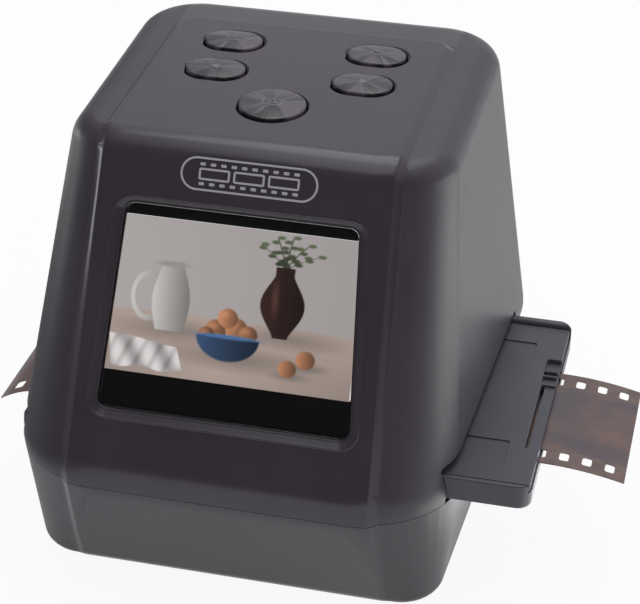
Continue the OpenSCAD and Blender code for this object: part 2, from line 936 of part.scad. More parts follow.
module optical_frame() {
    notch = 8;
    color([0.12, 0.12, 0.13])
        difference() {
            union() {
                translate([-frame_half_l, deck_front, guide_top])
                    cube([2 * frame_half_l, frame_back - deck_front, frame_t]);
                translate([0, film_y, tower_z - eps])
                    cylinder(r1 = tower_low_r, r2 = tower_top_r, h = tower_h + eps, $fn = 64);
                for (x = [-sensor_post_x, sensor_post_x])
                    translate([x, film_y, tower_top - 2])
                        cylinder(r = 2, h = sensor_board_z - tower_top + 2, $fn = 24);
                for (p = board_posts)
                    translate([p[0], p[1], tower_z - eps])
                        cylinder(r = 2.5, h = board_z - tower_z + eps, $fn = 24);
            }
            translate([0, film_y, guide_top - eps])
                cylinder(r = tower_low_r - 1.5, h = frame_t + 2 * eps, $fn = 64);
            translate([0, film_y, tower_z])
                cylinder(
                    r1 = tower_low_r - 1.5, r2 = tower_top_r - 1.5, h = tower_h - 6, $fn = 64
                );
            translate([0, film_y, tower_z])
                cylinder(r = barrel_r + 0.05, h = tower_h + eps, $fn = 48);
            translate([-notch, deck_back + 1, guide_top - eps])
                cube([2 * notch, frame_back - deck_back, frame_t + 2 * eps]);
            for (p = frame_screws)
                translate([p[0], p[1], guide_top - eps])
                    cylinder(r = 1.2, h = frame_t + 2 * eps, $fn = 24);
            for (x = [-sensor_post_x, sensor_post_x])
                translate([x, film_y, sensor_board_z - 5])
                    cylinder(r = 0.7 + screw_pilot, h = 6, $fn = 24);
            for (p = board_posts)
                translate([p[0], p[1], guide_top - eps])
                    cylinder(r = 0.9 + screw_pilot, h = 8, $fn = 24);
        }
}

module optical_frame_screws() {
    color(steel)
        for (p = frame_screws)
            translate([p[0], p[1], tower_z])
                screw(1, 8, 2, 1.2);
}

module lens_barrel() {
    color(black)
        translate([0, film_y, barrel_z])
            difference() {
                cylinder(r = barrel_r, h = barrel_l, $fn = 48);
                translate([0, 0, -eps])
                    cylinder(r = barrel_bore_r, h = barrel_l + 2 * eps, $fn = 48);
            }
}

// A lens with two bulged faces, as the part two balls share
module lens(bulge_r, t) {
    intersection() {
        cylinder(r = barrel_bore_r - 0.02, h = t, $fn = 48);
        translate([0, 0, bulge_r])
            sphere(r = bulge_r, $fn = 48);
        translate([0, 0, t - bulge_r])
            sphere(r = bulge_r, $fn = 48);
    }
}

module front_lens() {
    color([0.6, 0.75, 0.85, 0.5])
        translate([0, film_y, barrel_z + 0.5])
            lens(12, 4);
}

module rear_lens() {
    color([0.6, 0.75, 0.85, 0.5])
        translate([0, film_y, barrel_z + 9])
            lens(14, 3.5);
}

module sensor_board() {
    color(board_green)
        difference() {
            translate([-sensor_board_w / 2, film_y - sensor_board_w / 2, sensor_board_z])
                cube([sensor_board_w, sensor_board_w, board_t]);
            for (x = [-sensor_post_x, sensor_post_x])
                translate([x, film_y, sensor_board_z - eps])
                    cylinder(r = 0.9, h = board_t + 2 * eps, $fn = 24);
        }
}

module image_sensor() {
    color([0.1, 0.12, 0.16])
        translate([-4, film_y - 4, sensor_board_z - 1])
            cube([8, 8, 1]);
}

module sensor_screws() {
    color(steel)
        for (x = [-sensor_post_x, sensor_post_x])
            translate([x, film_y, sensor_board_z + board_t])
                screw(0.7, 5, 1.5, 0.9);
}

module sensor_cable() {
    edge_y = film_y + sensor_board_w / 2;
    color([0.75, 0.5, 0.2])
        flat_cable(-6, 8, 0.4, [
            [edge_y - 3, sensor_board_z + board_t + 0.2], [17.5, sensor_board_z + board_t + 0.2],
            [20, sensor_board_z - 2], [20, port_z + 0.3 + card_h + 3], [24, port_z + card_h + 0.2]
        ]);
}

// ---- deck, backlight ----

module film_deck() {
    spring_pocket = 26;
    color([0.16, 0.16, 0.17])
        difference() {
            union() {
                translate([-deck_half_l, deck_front, box_top])
                    cube([2 * deck_half_l, deck_back - deck_front, deck_t]);
                for (y = [deck_front, slot_back])
                    translate([-frame_half_l, y, box_top])
                        cube([2 * frame_half_l, deck_wall, guide_top - box_top]);
            }
            translate([-gate_l / 2 - 3, film_y - gate_w / 2 - 3, box_top - eps])
                cube([gate_l + 6, gate_w + 6, deck_t + 2 * eps]);
            for (p = deck_posts)
                translate([p[0], p[1], box_top - eps]) {
                    cylinder(r = 1.4, h = deck_t + 2 * eps, $fn = 24);
                    translate([0, 0, 0.9])
                        cylinder(r = 2.6, h = deck_t, $fn = 32);
                }
            for (p = frame_screws)
                translate([p[0], p[1], guide_top - 7])
                    cylinder(r = 1 + screw_pilot, h = 8, $fn = 24);
            translate([-spring_pocket / 2, slot_back - eps, tray_z + 1])
                cube([spring_pocket, 1.9, 4]);
        }
}

module deck_screws() {
    color(steel)
        for (p = deck_posts)
            translate([p[0], p[1], box_top + 0.9])
                screw(1.1, 8, 2.4, 1.1);
}

// A bowed leaf that steadies the tray's back edge
module tray_spring() {
    half_l = 11;
    bow = 1.2;
    t = 0.3;
    r = (half_l * half_l + bow * bow) / (2 * bow);
    reach = asin(half_l / r);
    color(steel)
        translate([0, tray_back + 0.3 + r + t, tray_z + 1.5])
            rotate([0, 0, -90 - reach])
                rotate_extrude(angle = 2 * reach, $fn = 96)
                    translate([r, 0])
                        square([t, 3]);
}

module light_box() {
    color("white")
        translate([-box_l / 2, film_y - box_w / 2, box_z])
            difference() {
                cube([box_l, box_w, box_top - box_z]);
                translate([box_wall, box_wall, -eps])
                    cube([box_l - 2 * box_wall, box_w - 2 * box_wall, box_top - box_z + 2 * eps]);
            }
}

module diffuser_plate() {
    color([0.95, 0.95, 0.92])
        translate([-gate_l / 2 - 2.8, film_y - gate_w / 2 - 2.8, deck_top - diffuser_t - 0.5])
            cube([gate_l + 5.6, gate_w + 5.6, diffuser_t]);
}

module led_board() {
    color(board_green)
        translate([-box_l / 2, film_y - box_w / 2, led_board_z])
            cube([box_l, box_w, board_t]);
}

module leds() {
    color([1, 1, 0.85])
        for (x = [-15, 0, 15])
            for (y = [-8, 8])
                translate([x - 1.75, film_y + y - 1.4, box_z])
                    cube([3.5, 2.8, 0.9]);
}

module led_cable() {
    color([0.75, 0.5, 0.2])
        flat_cable(0, 6, 0.4, [
            [film_y + box_w / 2 - 2, led_board_z - 0.2], [film_y + box_w / 2 + 1, led_board_z - 1],
            [36, 4], [38, 6], [38, board_z - 0.3]
        ]);
}

// ---- tray and film ----

module tray_plan(h) {
    r = tray_corner_r;
    translate([tray_out - tray_l / 2, tray_front, 0]) {
        translate([r, 0, 0])
            cube([tray_l - 2 * r, tray_w, h]);
        translate([0, r, 0])
            cube([tray_l, tray_w - 2 * r, h]);
        for (x = [r, tray_l - r])
            for (y = [r, tray_w - r])
                translate([x, y, 0])
                    cylinder(r = r, h = h, $fn = 48);
    }
}

module tray_base() {
    channel_w = film_w + 2 * channel_gap;
    left = tray_out - tray_l / 2;
    color(housing_grey)
        difference() {
            translate([0, 0, tray_z])
                tray_plan(rim_h);
            // seat of the cover, open at both ends
            translate([left - 1, tray_front + tray_rim, cover_z])
                cube([tray_l + 2, tray_w - tray_rim - back_rim, 10]);
            // front wall, lower than the back one
            translate([left - 1, tray_front - 1, tray_z + tray_h + 0.2])
                cube([tray_l + 2, tray_rim + 2, 10]);
            // film channel
            translate([left - 1, film_y - channel_w / 2, film_land_z])
                cube([tray_l + 2, channel_w, 10]);
            // picture gate
            translate([tray_out - gate_l / 2, film_y - gate_w / 2, tray_z - 1])
                cube([gate_l, gate_w, 10]);
        }
}

module tray_cover() {
    left = tray_out - tray_l / 2;
    cover_w = tray_w - tray_rim - back_rim - 0.1;
    front = tray_front + tray_rim + 0.05;
    top = tray_z + tray_h;
    end_inset = 0.4;
    slit_l = 24.7;
    slit_y = -21.9;
    notch_l = 10.2;
    label_w = 30;
    label_d = 9.5;
    color(housing_grey)
        difference() {
            translate([left + end_inset, front, cover_z])
                cube([tray_l - 2 * end_inset, cover_w, top - cover_z]);
            // picture gate
            translate([tray_out - gate_l / 2, film_y - gate_w / 2, cover_z - 1])
                cube([gate_l, gate_w, 10]);
            for (side = [-1, 1]) {
                end = tray_out + side * tray_l / 2;
                // slit, and the lower bar outside it
                translate([end - side * (end_bar_x + slit_w / 2) - slit_w / 2, slit_y, cover_z - 1])
                    cube([slit_w, slit_l, 10]);
                translate([end - side * end_bar_x / 2 - end_bar_x / 2, slit_y, top - 0.5])
                    cube([end_bar_x, slit_l, 2]);
                // notch for a finger nail
                translate([end - side * 1.6 - 2, slit_y + slit_l + 0.5, top - 1])
                    cube([4, notch_l, 2]);
                // shallow label fields, front and back
                translate([tray_out + side * 32.3 - label_w / 2, front + 5.5, top - 0.25])
                    cube([label_w, label_d, 1]);
                translate([tray_out + side * 32.3 - label_w / 2, 13, top - 0.25])
                    cube([label_w, 6.5, 1]);
            }
        }
}

module film_strip() {
    perf_n = floor(film_l / perf_pitch);
    start = film_out - (perf_n - 1) * perf_pitch / 2;
    color([0.42, 0.3, 0.24, 0.8])
        translate([0, 0, film_z - film_t / 2])
            linear_extrude(film_t)
                difference() {
                    translate([film_out - film_l / 2, film_y - film_w / 2])
                        square([film_l, film_w]);
                    for (i = [0 : perf_n - 1])
                        for (side = [-1, 1])
                            translate([
                                start + i * perf_pitch - perf_w / 2,
                                film_y + side * perf_row - perf_l / 2
                            ])
                                square([perf_w, perf_l]);
                }
}

upper_housing();
base_housing();
screen_window();
lcd_panel();
lcd_bracket();
lcd_screws();
lcd_cable();
main_board();
processor_chip();
memory_chips();
board_capacitors();
main_board_screws();
card_slot();
usb_port();
video_port();
button_board();
button_board_screws();
button_cable();
switch_bases();
key_back_left();
key_back_right();
key_front_left();
key_front_right();
key_round_middle();
plunger_back_left();
plunger_back_right();
plunger_front_left();
plunger_front_right();
plunger_round_middle();
optical_frame();
optical_frame_screws();
lens_barrel();
front_lens();
rear_lens();
sensor_board();
image_sensor();
sensor_screws();
sensor_cable();
film_deck();
deck_screws();
tray_spring();
diffuser_plate();
light_box();
led_board();
leds();
led_cable();
rubber_feet();
case_screws();
tray_base();
tray_cover();
film_strip();
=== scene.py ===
import math

import bmesh
import bpy
import numpy as np
from mathutils import Matrix, Vector


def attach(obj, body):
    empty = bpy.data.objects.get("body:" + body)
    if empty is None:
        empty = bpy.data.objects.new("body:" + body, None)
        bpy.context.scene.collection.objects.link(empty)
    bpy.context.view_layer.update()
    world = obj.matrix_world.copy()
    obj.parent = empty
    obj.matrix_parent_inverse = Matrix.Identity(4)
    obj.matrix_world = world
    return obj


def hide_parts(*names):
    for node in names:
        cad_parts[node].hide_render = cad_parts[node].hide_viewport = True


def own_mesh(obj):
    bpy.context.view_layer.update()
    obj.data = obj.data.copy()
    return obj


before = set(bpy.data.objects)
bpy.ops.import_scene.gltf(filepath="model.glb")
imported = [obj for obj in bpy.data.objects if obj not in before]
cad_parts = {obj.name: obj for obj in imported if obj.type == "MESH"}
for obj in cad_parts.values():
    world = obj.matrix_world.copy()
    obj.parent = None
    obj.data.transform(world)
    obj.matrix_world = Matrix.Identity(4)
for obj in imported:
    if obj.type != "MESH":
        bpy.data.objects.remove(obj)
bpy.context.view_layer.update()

toMetres = Matrix.Scale(0.001, 4)  # shapes are built in millimetres and scaled at the end
filmY = -5.9  # middle of the film, in millimetres


def makeNode(tree, kind, inputs=(), output=0, **settings):
    node = tree.nodes.new(kind)
    for name, setting in settings.items():
        setattr(node, name, setting)
    for name, value in dict(inputs).items():
        if isinstance(value, Wire):
            tree.links.new(value.socket, node.inputs[name])
        else:
            node.inputs[name].default_value = value
    return Wire(tree, node.outputs[output])


def linear(values):  # screen values from 0 to 255 become linear light
    share = np.array(values) / 255
    return np.where(share <= 0.04045, share / 12.92, ((share + 0.055) / 1.055) ** 2.4)


class Wire:
    def __init__(self, tree, socket):
        self.tree = tree
        self.socket = socket

    def make(self, kind, inputs, output=0, **settings):
        return makeNode(self.tree, "ShaderNode" + kind, inputs, output, **settings)

    def maths(self, operation, other=0.0):
        return self.make("Math", {0: self, 1: other}, operation=operation)

    def __add__(self, other):
        return self.maths("ADD", other)

    def __sub__(self, other):
        return self.maths("SUBTRACT", other)

    def __rsub__(self, other):
        return self.make("Math", {0: other, 1: self}, operation="SUBTRACT")

    def __mul__(self, other):
        return self.maths("MULTIPLY", other)

    def __truediv__(self, other):
        return self.maths("DIVIDE", other)

    __radd__ = __add__
    __rmul__ = __mul__

    def clamped(self):
        return self.make("Clamp", {0: self})

    def between(self, low, high):  # 0 below low, 1 above high, smooth in between
        return self.make("MapRange", {"Value": self, "From Min": low, "From Max": high},
                         interpolation_type="SMOOTHSTEP")

    def blend(self, first, second):  # this value mixes two colours
        return self.make("Mix", {0: self, 6: first, 7: second}, 2, data_type="RGBA")

    def tones(self, dark, light):  # the same for two screen colours
        return self.blend((*linear(dark), 1.0), (*linear(light), 1.0))

    def parts(self):
        return [self.make("SeparateXYZ", {0: self}, i) for i in range(3)]

    def noise(self, scale, detail=3.0, roughness=0.55):
        return self.make("TexNoise", {
            "Vector": self, "Scale": scale, "Detail": detail, "Roughness": roughness})

    def stretched(self, x, y, z):
        return self.make("Mapping", {"Vector": self, "Scale": (x, y, z)})

    def bump(self, strength, distance):
        return self.make("Bump", {"Height": self, "Strength": strength, "Distance": distance})


def newMaterial(name, **constants):
    material = bpy.data.materials.new(name)
    material.use_nodes = True
    tree = material.node_tree
    shader = tree.nodes["Principled BSDF"]
    for socketName, value in constants.items():
        shader.inputs[socketName.replace("_", " ")].default_value = value

    def feed(**links):
        for socketName, wire in links.items():
            tree.links.new(wire.socket, shader.inputs[socketName.replace("_", " ")])
        return material

    return makeNode(tree, "ShaderNodeTexCoord", output=3), feed


# Moulded plastic: cloudy colour, a fine spark-eroded grain and a slightly uneven gloss
def mouldedPlastic(name, dark, light, roughness, grain, grainHeight, matt=None):
    place, feed = newMaterial(name)
    if matt:  # beside the raised band the surface is duller
        across, up = place.parts()[::2]
        beside = across.maths("ABSOLUTE") + (up - matt["level"]) * matt["slope"]
        roughness = beside.between(matt["half"], matt["half"] + 0.0004) * matt["extra"] + roughness
    cloud = place.noise(55.0, 4.0)
    fine = place.noise(grain, 2.0, 0.6)
    wear = place.noise(210.0, 5.0, 0.7)
    return feed(
        Base_Color=(cloud.between(0.3, 0.7) * 0.7 + fine * 0.3).tones(dark, light),
        Roughness=roughness + (wear - 0.5) * 0.07 + (fine - 0.5) * 0.05,
        Normal=fine.bump(0.25, grainHeight))


# Metal drawn or turned along one direction
def drawnMetal(name, dark, light, roughness, stretch):
    place, feed = newMaterial(name, Metallic=1.0)
    lines = place.stretched(*stretch).noise(900.0, 3.0, 0.6)
    return feed(
        Base_Color=place.noise(160.0, 4.0).between(0.25, 0.8).tones(dark, light),
        Roughness=roughness + (lines - 0.5) * 0.25,
        Normal=lines.bump(0.2, 0.00004))


def circuitBoard():
    place, feed = newMaterial("boardLacquer", Coat_Roughness=0.12, Coat_Weight=0.3)
    x, y = place.parts()[:2]
    along = (x * 1400.0).maths("SINE").between(0.55, 0.8)
    across = (y * 1100.0).maths("SINE").between(0.6, 0.85)
    patches = place.noise(120.0, 1.0).between(0.47, 0.53)
    tracks = patches * along + (1.0 - patches) * across
    return feed(
        Base_Color=tracks.tones((14, 72, 42), (34, 112, 66)),
        Roughness=0.38 + place.noise(300.0) * 0.14,
        Normal=tracks.bump(0.4, 0.00005))


def flexCable():
    place, feed = newMaterial("flexFilm")
    strips = (place.parts()[0] * 9000.0).maths("SINE").between(-0.1, 0.3)
    return feed(
        Base_Color=strips.tones((150, 96, 44), (206, 148, 82)),
        Roughness=0.36 + place.noise(400.0) * 0.12,
        Normal=strips.bump(0.3, 0.00004))


# Clear parts: the tint and finish are constant, only the surface shimmers a little
def clearGlass(name, tint, ior):
    place, feed = newMaterial(name, Transmission_Weight=1.0, IOR=ior)
    smear = place.noise(90.0, 3.0)
    return feed(
        Base_Color=smear.blend((*tint, 1.0), (*[c * 0.97 for c in tint], 1.0)),
        Roughness=0.004 + smear.between(0.5, 0.9) * 0.02)


# Polished keys, turned on a lathe: fine rings round the middle of each key spread the light. The colour holds
# a painted reflection: light and dark fans round the middle stand in for the sheen of the turned finish, and
# the same fans also vary the roughness and bumps
def turnedGlossWithPaintedSheen():
    place, feed = newMaterial("keyGloss", Coat_Roughness=0.05, Coat_Weight=0.12)
    u, v = makeNode(place.tree, "ShaderNodeUVMap", uv_map="keyPlane").parts()[:2]
    reach = (u * u + v * v).maths("SQRT") + 0.0001
    rings = (reach * 11424.0).maths("SINE")
    x, y = place.parts()[:2]
    # the third value shifts the pattern from key to key
    direction = place.make("CombineXYZ", {0: u / reach, 1: v / reach, 2: x * 45.0 + y * 30.0})
    sheenFans = direction.noise(1.6, 1.0, 0.4).between(0.36, 0.64)
    sheenStreaks = direction.noise(7.0, 3.0, 0.6)
    cloud = place.noise(300.0, 3.0)
    return feed(
        # painted sheen: the colour runs from dark to light with the fans and streaks, in place of a real
        # anisotropic reflection
        Base_Color=(sheenFans * 0.8 + sheenStreaks * 0.6 - 0.2).clamped().tones((8, 6, 9), (78, 72, 80)),
        Roughness=0.12 + sheenFans * 0.22 + cloud * 0.05 + rings * 0.02,
        Normal=(sheenFans * 0.6 + sheenStreaks * 0.35 + cloud * 0.1).bump(0.75, 0.00025))


def paintedPrint(name, dark, light, roughness):
    place, feed = newMaterial(name)
    speck = place.noise(2600.0, 2.0)
    return feed(
        Base_Color=speck.tones(dark, light),
        Roughness=roughness + speck * 0.1,
        Normal=speck.bump(0.2, 0.00003))


# The lit picture: its colours are an attribute of the piece
def litPicture():
    place, feed = newMaterial("litPicture", Emission_Strength=1.0, Specular_IOR_Level=0.2)
    return feed(
        Base_Color=(place.noise(500.0) * 0.2).blend((0.012, 0.012, 0.013, 1.0), (0.02, 0.02, 0.022, 1.0)),
        Emission_Color=makeNode(place.tree, "ShaderNodeAttribute", attribute_name="picture"),
        Roughness=0.3 + place.noise(700.0) * 0.05)


# Developed film: a brown base, denser pictures with a clear gap between them; sizes in metres
filmFrames = {"pitch": 0.038, "start": 0.043, "middle": filmY * 0.001, "halfWidth": 0.0118, "gap": 0.045}


def filmStock():
    s = filmFrames
    place, feed = newMaterial("filmStock", Coat_Weight=0.25, Coat_Roughness=0.12)
    x, y = place.parts()[:2]
    along = ((x - s["start"]) / s["pitch"]).maths("FRACT")
    inFrame = along.between(0.02, 0.03) * (1.0 - along.between(1.0 - s["gap"], 1.01 - s["gap"]))
    offAxis = (y - s["middle"]).maths("ABSOLUTE")
    frameMask = inFrame * (1.0 - offAxis.between(s["halfWidth"], s["halfWidth"] + 0.0004))
    hills = place.stretched(1.0, 1.6, 1.0).noise(52.0, 3.0, 0.5)
    spots = place.noise(260.0, 4.0, 0.65)
    rebate = spots.between(0.3, 0.7).tones((84, 65, 60), (106, 83, 76))
    shadows = hills.between(0.36, 0.64).tones((108, 79, 68), (66, 56, 64))
    picture = (spots.between(0.35, 0.7) * 0.5).blend(shadows, (*linear((82, 65, 62)), 1.0))
    return feed(
        Base_Color=frameMask.blend(rebate, picture),
        Roughness=0.28 + spots * 0.12,
        Alpha=0.955 + frameMask * 0.025,
        Normal=hills.bump(0.15, 0.0002))


shoulders = {"half": 0.0327, "level": 0.032, "slope": 0.027, "extra": 0.2}  # metres, like Object coordinates
plastics = {  # name, darkest and lightest tone, roughness, scale and height of the grain
    "housing": ("housingPlastic", (54, 49, 55), (59, 54, 60), 0.2, 1500.0, 0.000012, shoulders),
    "tray": ("trayPlastic", (58, 57, 65), (66, 65, 73), 0.40, 2600.0, 0.00004),
    "inner_plastic": ("innerPlastic", (34, 34, 36), (44, 44, 46), 0.55, 1800.0, 0.00006),
    "white_plastic": ("whitePlastic", (214, 213, 208), (228, 227, 222), 0.45, 2000.0, 0.00004),
    "chip": ("chipResin", (28, 28, 30), (38, 38, 40), 0.5, 3000.0, 0.00004),
    "foot_rubber": ("footRubber", (26, 26, 27), (36, 36, 37), 0.75, 1500.0, 0.00009),
    "display": ("displayEdge", (5, 3, 6), (8, 5, 9), 0.16, 2400.0, 0.000004),
    "diffuser": ("opalPlate", (222, 222, 216), (236, 236, 230), 0.5, 900.0, 0.00004),
    "led": ("ledResin", (216, 205, 130), (236, 226, 160), 0.35, 1500.0, 0.00003),
}
metals = {  # name, darkest and lightest tone, roughness, how the lines are stretched
    "sheet_steel": ("sheetSteel", (188, 188, 192), (212, 212, 214), 0.34, (1.0, 12.0, 1.0)),
    "screw_steel": ("screwSteel", (150, 150, 154), (186, 186, 190), 0.3, (3.0, 3.0, 14.0)),
    "capacitor": ("canAluminium", (196, 194, 186), (216, 214, 208), 0.3, (2.0, 2.0, 10.0)),
}
materials = {
    **{finish: mouldedPlastic(*look) for finish, look in plastics.items()},
    **{finish: drawnMetal(*look) for finish, look in metals.items()},
    "circuit_board": circuitBoard(),
    "flex_cable": flexCable(),
    "lens_glass": clearGlass("lensGlass", (0.86, 0.93, 0.95), 1.5),
    "window": clearGlass("windowGlass", (0.93, 0.93, 0.94), 1.49),
    "key": turnedGlossWithPaintedSheen(),
    "print": paintedPrint("palePrint", (150, 149, 152), (168, 167, 170), 0.45),
    "keyPrint": paintedPrint("greyPrint", (96, 95, 99), (108, 107, 111), 0.4),
    "picture": litPicture(),
    "film": filmStock(),
}
print("materials made")


def newObject(name, data):
    thing = bpy.data.objects.new(name, data)
    bpy.context.scene.collection.objects.link(thing)
    return thing


def fromBmesh(shape, name="part"):
    bmesh.ops.recalc_face_normals(shape, faces=shape.faces)
    mesh = bpy.data.meshes.new(name)
    shape.to_mesh(mesh)
    shape.free()
    return newObject(name, mesh)


def baked(thing):  # the modifiers' result as a plain mesh
    view = bpy.context.evaluated_depsgraph_get()
    mesh = bpy.data.meshes.new_from_object(thing.evaluated_get(view))
    thing.modifiers.clear()
    old = thing.data
    thing.data = mesh
    bpy.data.meshes.remove(old)
    return thing


def combine(how, target, tools):
    for tool in tools:
        step = target.modifiers.new("combine", "BOOLEAN")
        step.operation = how
        step.solver = "MANIFOLD"
        step.object = tool
        baked(target)
        bpy.data.objects.remove(tool)
    return target


def cut(target, *tools):
    return combine("DIFFERENCE", target, tools)


def add(target, *tools):
    return combine("UNION", target, tools)


def keepInside(target, *tools):
    return combine("INTERSECT", target, tools)


def arc(first, last, steps):  # angles from first to last, given in degrees
    return [math.radians(first + (last - first) * i / steps) for i in range(steps + 1)]


def circle(steps, offset=0.0):
    return [2 * math.pi * (i + offset) / steps for i in range(steps)]


def span(middle, width):
    return middle - width / 2, middle + width / 2


def moved(x, y, z):
    return Matrix.Translation((x, y, z))


def rotated(degrees, axis):
    return Matrix.Rotation(math.radians(degrees), 4, axis)


def hullShape(points):
    shape = bmesh.new()
    for point in points:
        shape.verts.new(point)
    bmesh.ops.convex_hull(shape, input=shape.verts)
    bmesh.ops.delete(shape, geom=[v for v in shape.verts if not v.link_faces], context="VERTS")
    return shape


# A closed body through rings of points: both ends are capped, or the last ring meets the first
def loft(rings, place=Matrix(), looped=False):
    shape = bmesh.new()
    rows = [[shape.verts.new(p) for p in ring] for ring in rings]
    following = rows[1:] + rows[:1] if looped else rows[1:]
    for low, high in zip(rows, following):
        for i in range(len(low)):
            j = (i + 1) % len(low)
            shape.faces.new((low[i], low[j], high[j], high[i]))
    if not looped:
        shape.faces.new(reversed(rows[0]))
        shape.faces.new(rows[-1])
    thing = fromBmesh(shape)
    thing.data.transform(place)
    return thing


# Points of a rectangle with rounded corners, drawn in by inset
def roundedRect(x, y, radius, inset, steps):
    halfX, halfY = abs(x[1] - x[0]) / 2 - inset, abs(y[1] - y[0]) / 2 - inset
    radius = max(0.02, min(radius - inset, halfX, halfY))
    points = []
    for turn, (sideX, sideY) in enumerate(((1, -1), (1, 1), (-1, 1), (-1, -1))):
        for angle in arc(turn * 90 - 90, turn * 90, steps):
            points.append((
                (x[0] + x[1]) / 2 + sideX * (halfX - radius) + radius * math.cos(angle),
                (y[0] + y[1]) / 2 + sideY * (halfY - radius) + radius * math.sin(angle)))
    return points


# A rounded plate: profile is a list of (inset, height)
def plate(x, y, radius, profile, steps=8, place=Matrix(), looped=False):
    rings = [[(*p, height) for p in roundedRect(x, y, radius, inset, steps)] for inset, height in profile]
    return loft(rings, place, looped)


# A flat frame with rounded corners and a given line width
def ringPlate(x, y, radius, line, levels, steps=6):
    low, high = levels
    return plate(x, y, radius, ((0, low), (0, high), (line, high), (line, low)), steps, looped=True)


def roundEdge(low, high, lowR, highR, steps=4):  # profile of a plate with rounded edges
    turns = arc(0, 90, steps)
    return ([(lowR * (1 - math.sin(a)), low + lowR * (1 - math.cos(a))) for a in turns]
            + [(highR * (1 - math.cos(a)), high - highR * (1 - math.sin(a))) for a in turns])


def block(first, second):  # a box between two corners
    shape = bmesh.new()
    bmesh.ops.create_cube(shape, size=1.0)
    for v in shape.verts:
        v.co = [sorted(ends)[side > 0] for side, *ends in zip(v.co, first, second)]
    return fromBmesh(shape)


# A turned body round the z axis: profile is a list of (radius, height)
def turned(profile, place=Matrix(), steps=48):
    return loft([[(r * math.cos(a), r * math.sin(a), z) for a in circle(steps)] for r, z in profile], place)


def rod(radius, low, high):  # profile of a straight post or hole
    return (radius, low), (radius, high)


# A length of a cross-section drawn in the y-z plane
def extrusion(section, x):
    return loft([[(x0, y, z) for y, z in section] for x0 in x])


def joined(parts):
    shape = bmesh.new()
    for part in parts:
        shape.from_mesh(part.data)
        bpy.data.objects.remove(part)
    return fromBmesh(shape)


# Millimetres to metres, soft shading with crisp edges, finish and body
def finishPiece(thing, name, body, finish, nodes=(), crisp=28.0):
    thing.name = name
    thing.data.name = name
    thing.data.transform(toMetres)
    shape = bmesh.new()
    shape.from_mesh(thing.data)
    bmesh.ops.remove_doubles(shape, verts=shape.verts, dist=1e-7)
    bmesh.ops.dissolve_degenerate(shape, edges=shape.edges, dist=1e-7)
    shape.to_mesh(thing.data)
    shape.free()
    thing.data.materials.clear()
    thing.data.materials.append(materials[finish])
    thing.data.shade_smooth()
    thing.data.set_sharp_from_angle(angle=math.radians(crisp))
    weighted = thing.modifiers.new("weighted", "WEIGHTED_NORMAL")
    weighted.keep_sharp = True
    weighted.weight = 50
    baked(thing)
    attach(thing, body)
    if nodes:
        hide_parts(*nodes)
    return thing


housing = {
    "sideHalfWidth": 46.8, "widestLevel": 32.0, "sideLean": 6.3, "footHalfWidth": 44.0,
    "frontFootY": -63.8, "frontLean": 23.9, "chinFootY": -38.0, "chinLean": 22.3,
    "topLevel": 95.0, "topStartY": -18.5, "topRise": 1.9, "rearY": 52.2, "rearLean": 1.5, "rearFootY": 48.0,
    "wall": 2.0, "parting": 28.0, "seam": 0.1, "turnStep": 5.0, "tubeStep": 9.0,
    "bandHeight": 1.0, "bandTopHalf": 30.4, "bandChinHalf": 32.1, "bandFootHalf": 33.6,
    "bandEndY": 36.3, "bandEndRadius": 4.0, "farOut": 80,
    # how far each step of the band's edge is grown and moved outwards
    "bandSteps": ((1.0, -1.02), (0.975, -0.84), (0.91, -0.68), (0.0, 0.83), (-0.6, 1.83)),
    # three faces that meet, towards the front or the rear, flare, radius in plan and radius of the edge
    "corners": (
        ("front", "top", "side", -1, 0.0, 15.0, 6.0), ("rear", "top", "side", 1, 0.5, 14.0, 6.0),
        ("front", "chin", "side", -1, 0.0, 20.0, 10.0), ("rear", "rearFoot", "side", 1, 2.6, 14.0, 10.0),
        ("chin", "foot", "sideFoot", -1, 0.0, 9.5, 4.0), ("rearFoot", "foot", "sideFoot", 1, 2.6, 14.0, 4.0)),
}
fixings = {  # half the distance across and places along y; bosses and holes: radius, bottom, top, steps
    "keyBoard": {
        "half": 22.0, "y": (11.0, 52.5), "boss": (2.5, -10.5, -1.2, 32), "pilot": (0.95, -11, -4.6, 24)},
    "display": {"half": 32.5, "y": (55.5, 77.5), "boss": (2.0, -5.8, 0.0, 32)},
    "case": {
        "half": 35.0, "y": (41.0,), "upperBoss": (4.5, 28, 42, 40), "lowerBoss": (4.5, 1.0, 28.0, 40),
        "pilot": (1.35, 27, 39, 24), "through": (1.6, 17, 40, 24), "ribHalf": 0.8, "ribReach": 20},
    "deck": {"half": 32.0, "y": (-27.0, 24.0), "boss": (3, 1.0, 26.4, 32), "pilot": (1.15, 16.4, 28, 24)},
    "lamps": {"half": 20.0, "y": (filmY - 15, filmY + 15), "boss": (2, 1.0, 5, 24)},
    "feet": {"half": 33.0, "y": (-22.0, 30.0)},
}


# A face seen edge on, with its outward normal and its distance
def face(lean, towards, point, inward=0.0):
    normal = (towards * math.cos(math.radians(lean)), math.sin(math.radians(lean)))
    return normal, normal[0] * point[0] + normal[1] * point[1] - inward


def faceBetween(low, high, inward=0.0):
    return face(math.degrees(math.atan((low[0] - high[0]) / (high[1] - low[1]))), 1, low, inward)


def drawnIn(line, by):
    return line[0], line[1] - by


def crossing(a, b):
    det = a[0][0] * b[0][1] - a[0][1] * b[0][0]
    return (a[1] * b[0][1] - b[1] * a[0][1]) / det, (a[0][0] * b[1] - b[0][0] * a[1]) / det


def atHeight(line, z):
    return (line[1] - line[0][1] * z) / line[0][0]


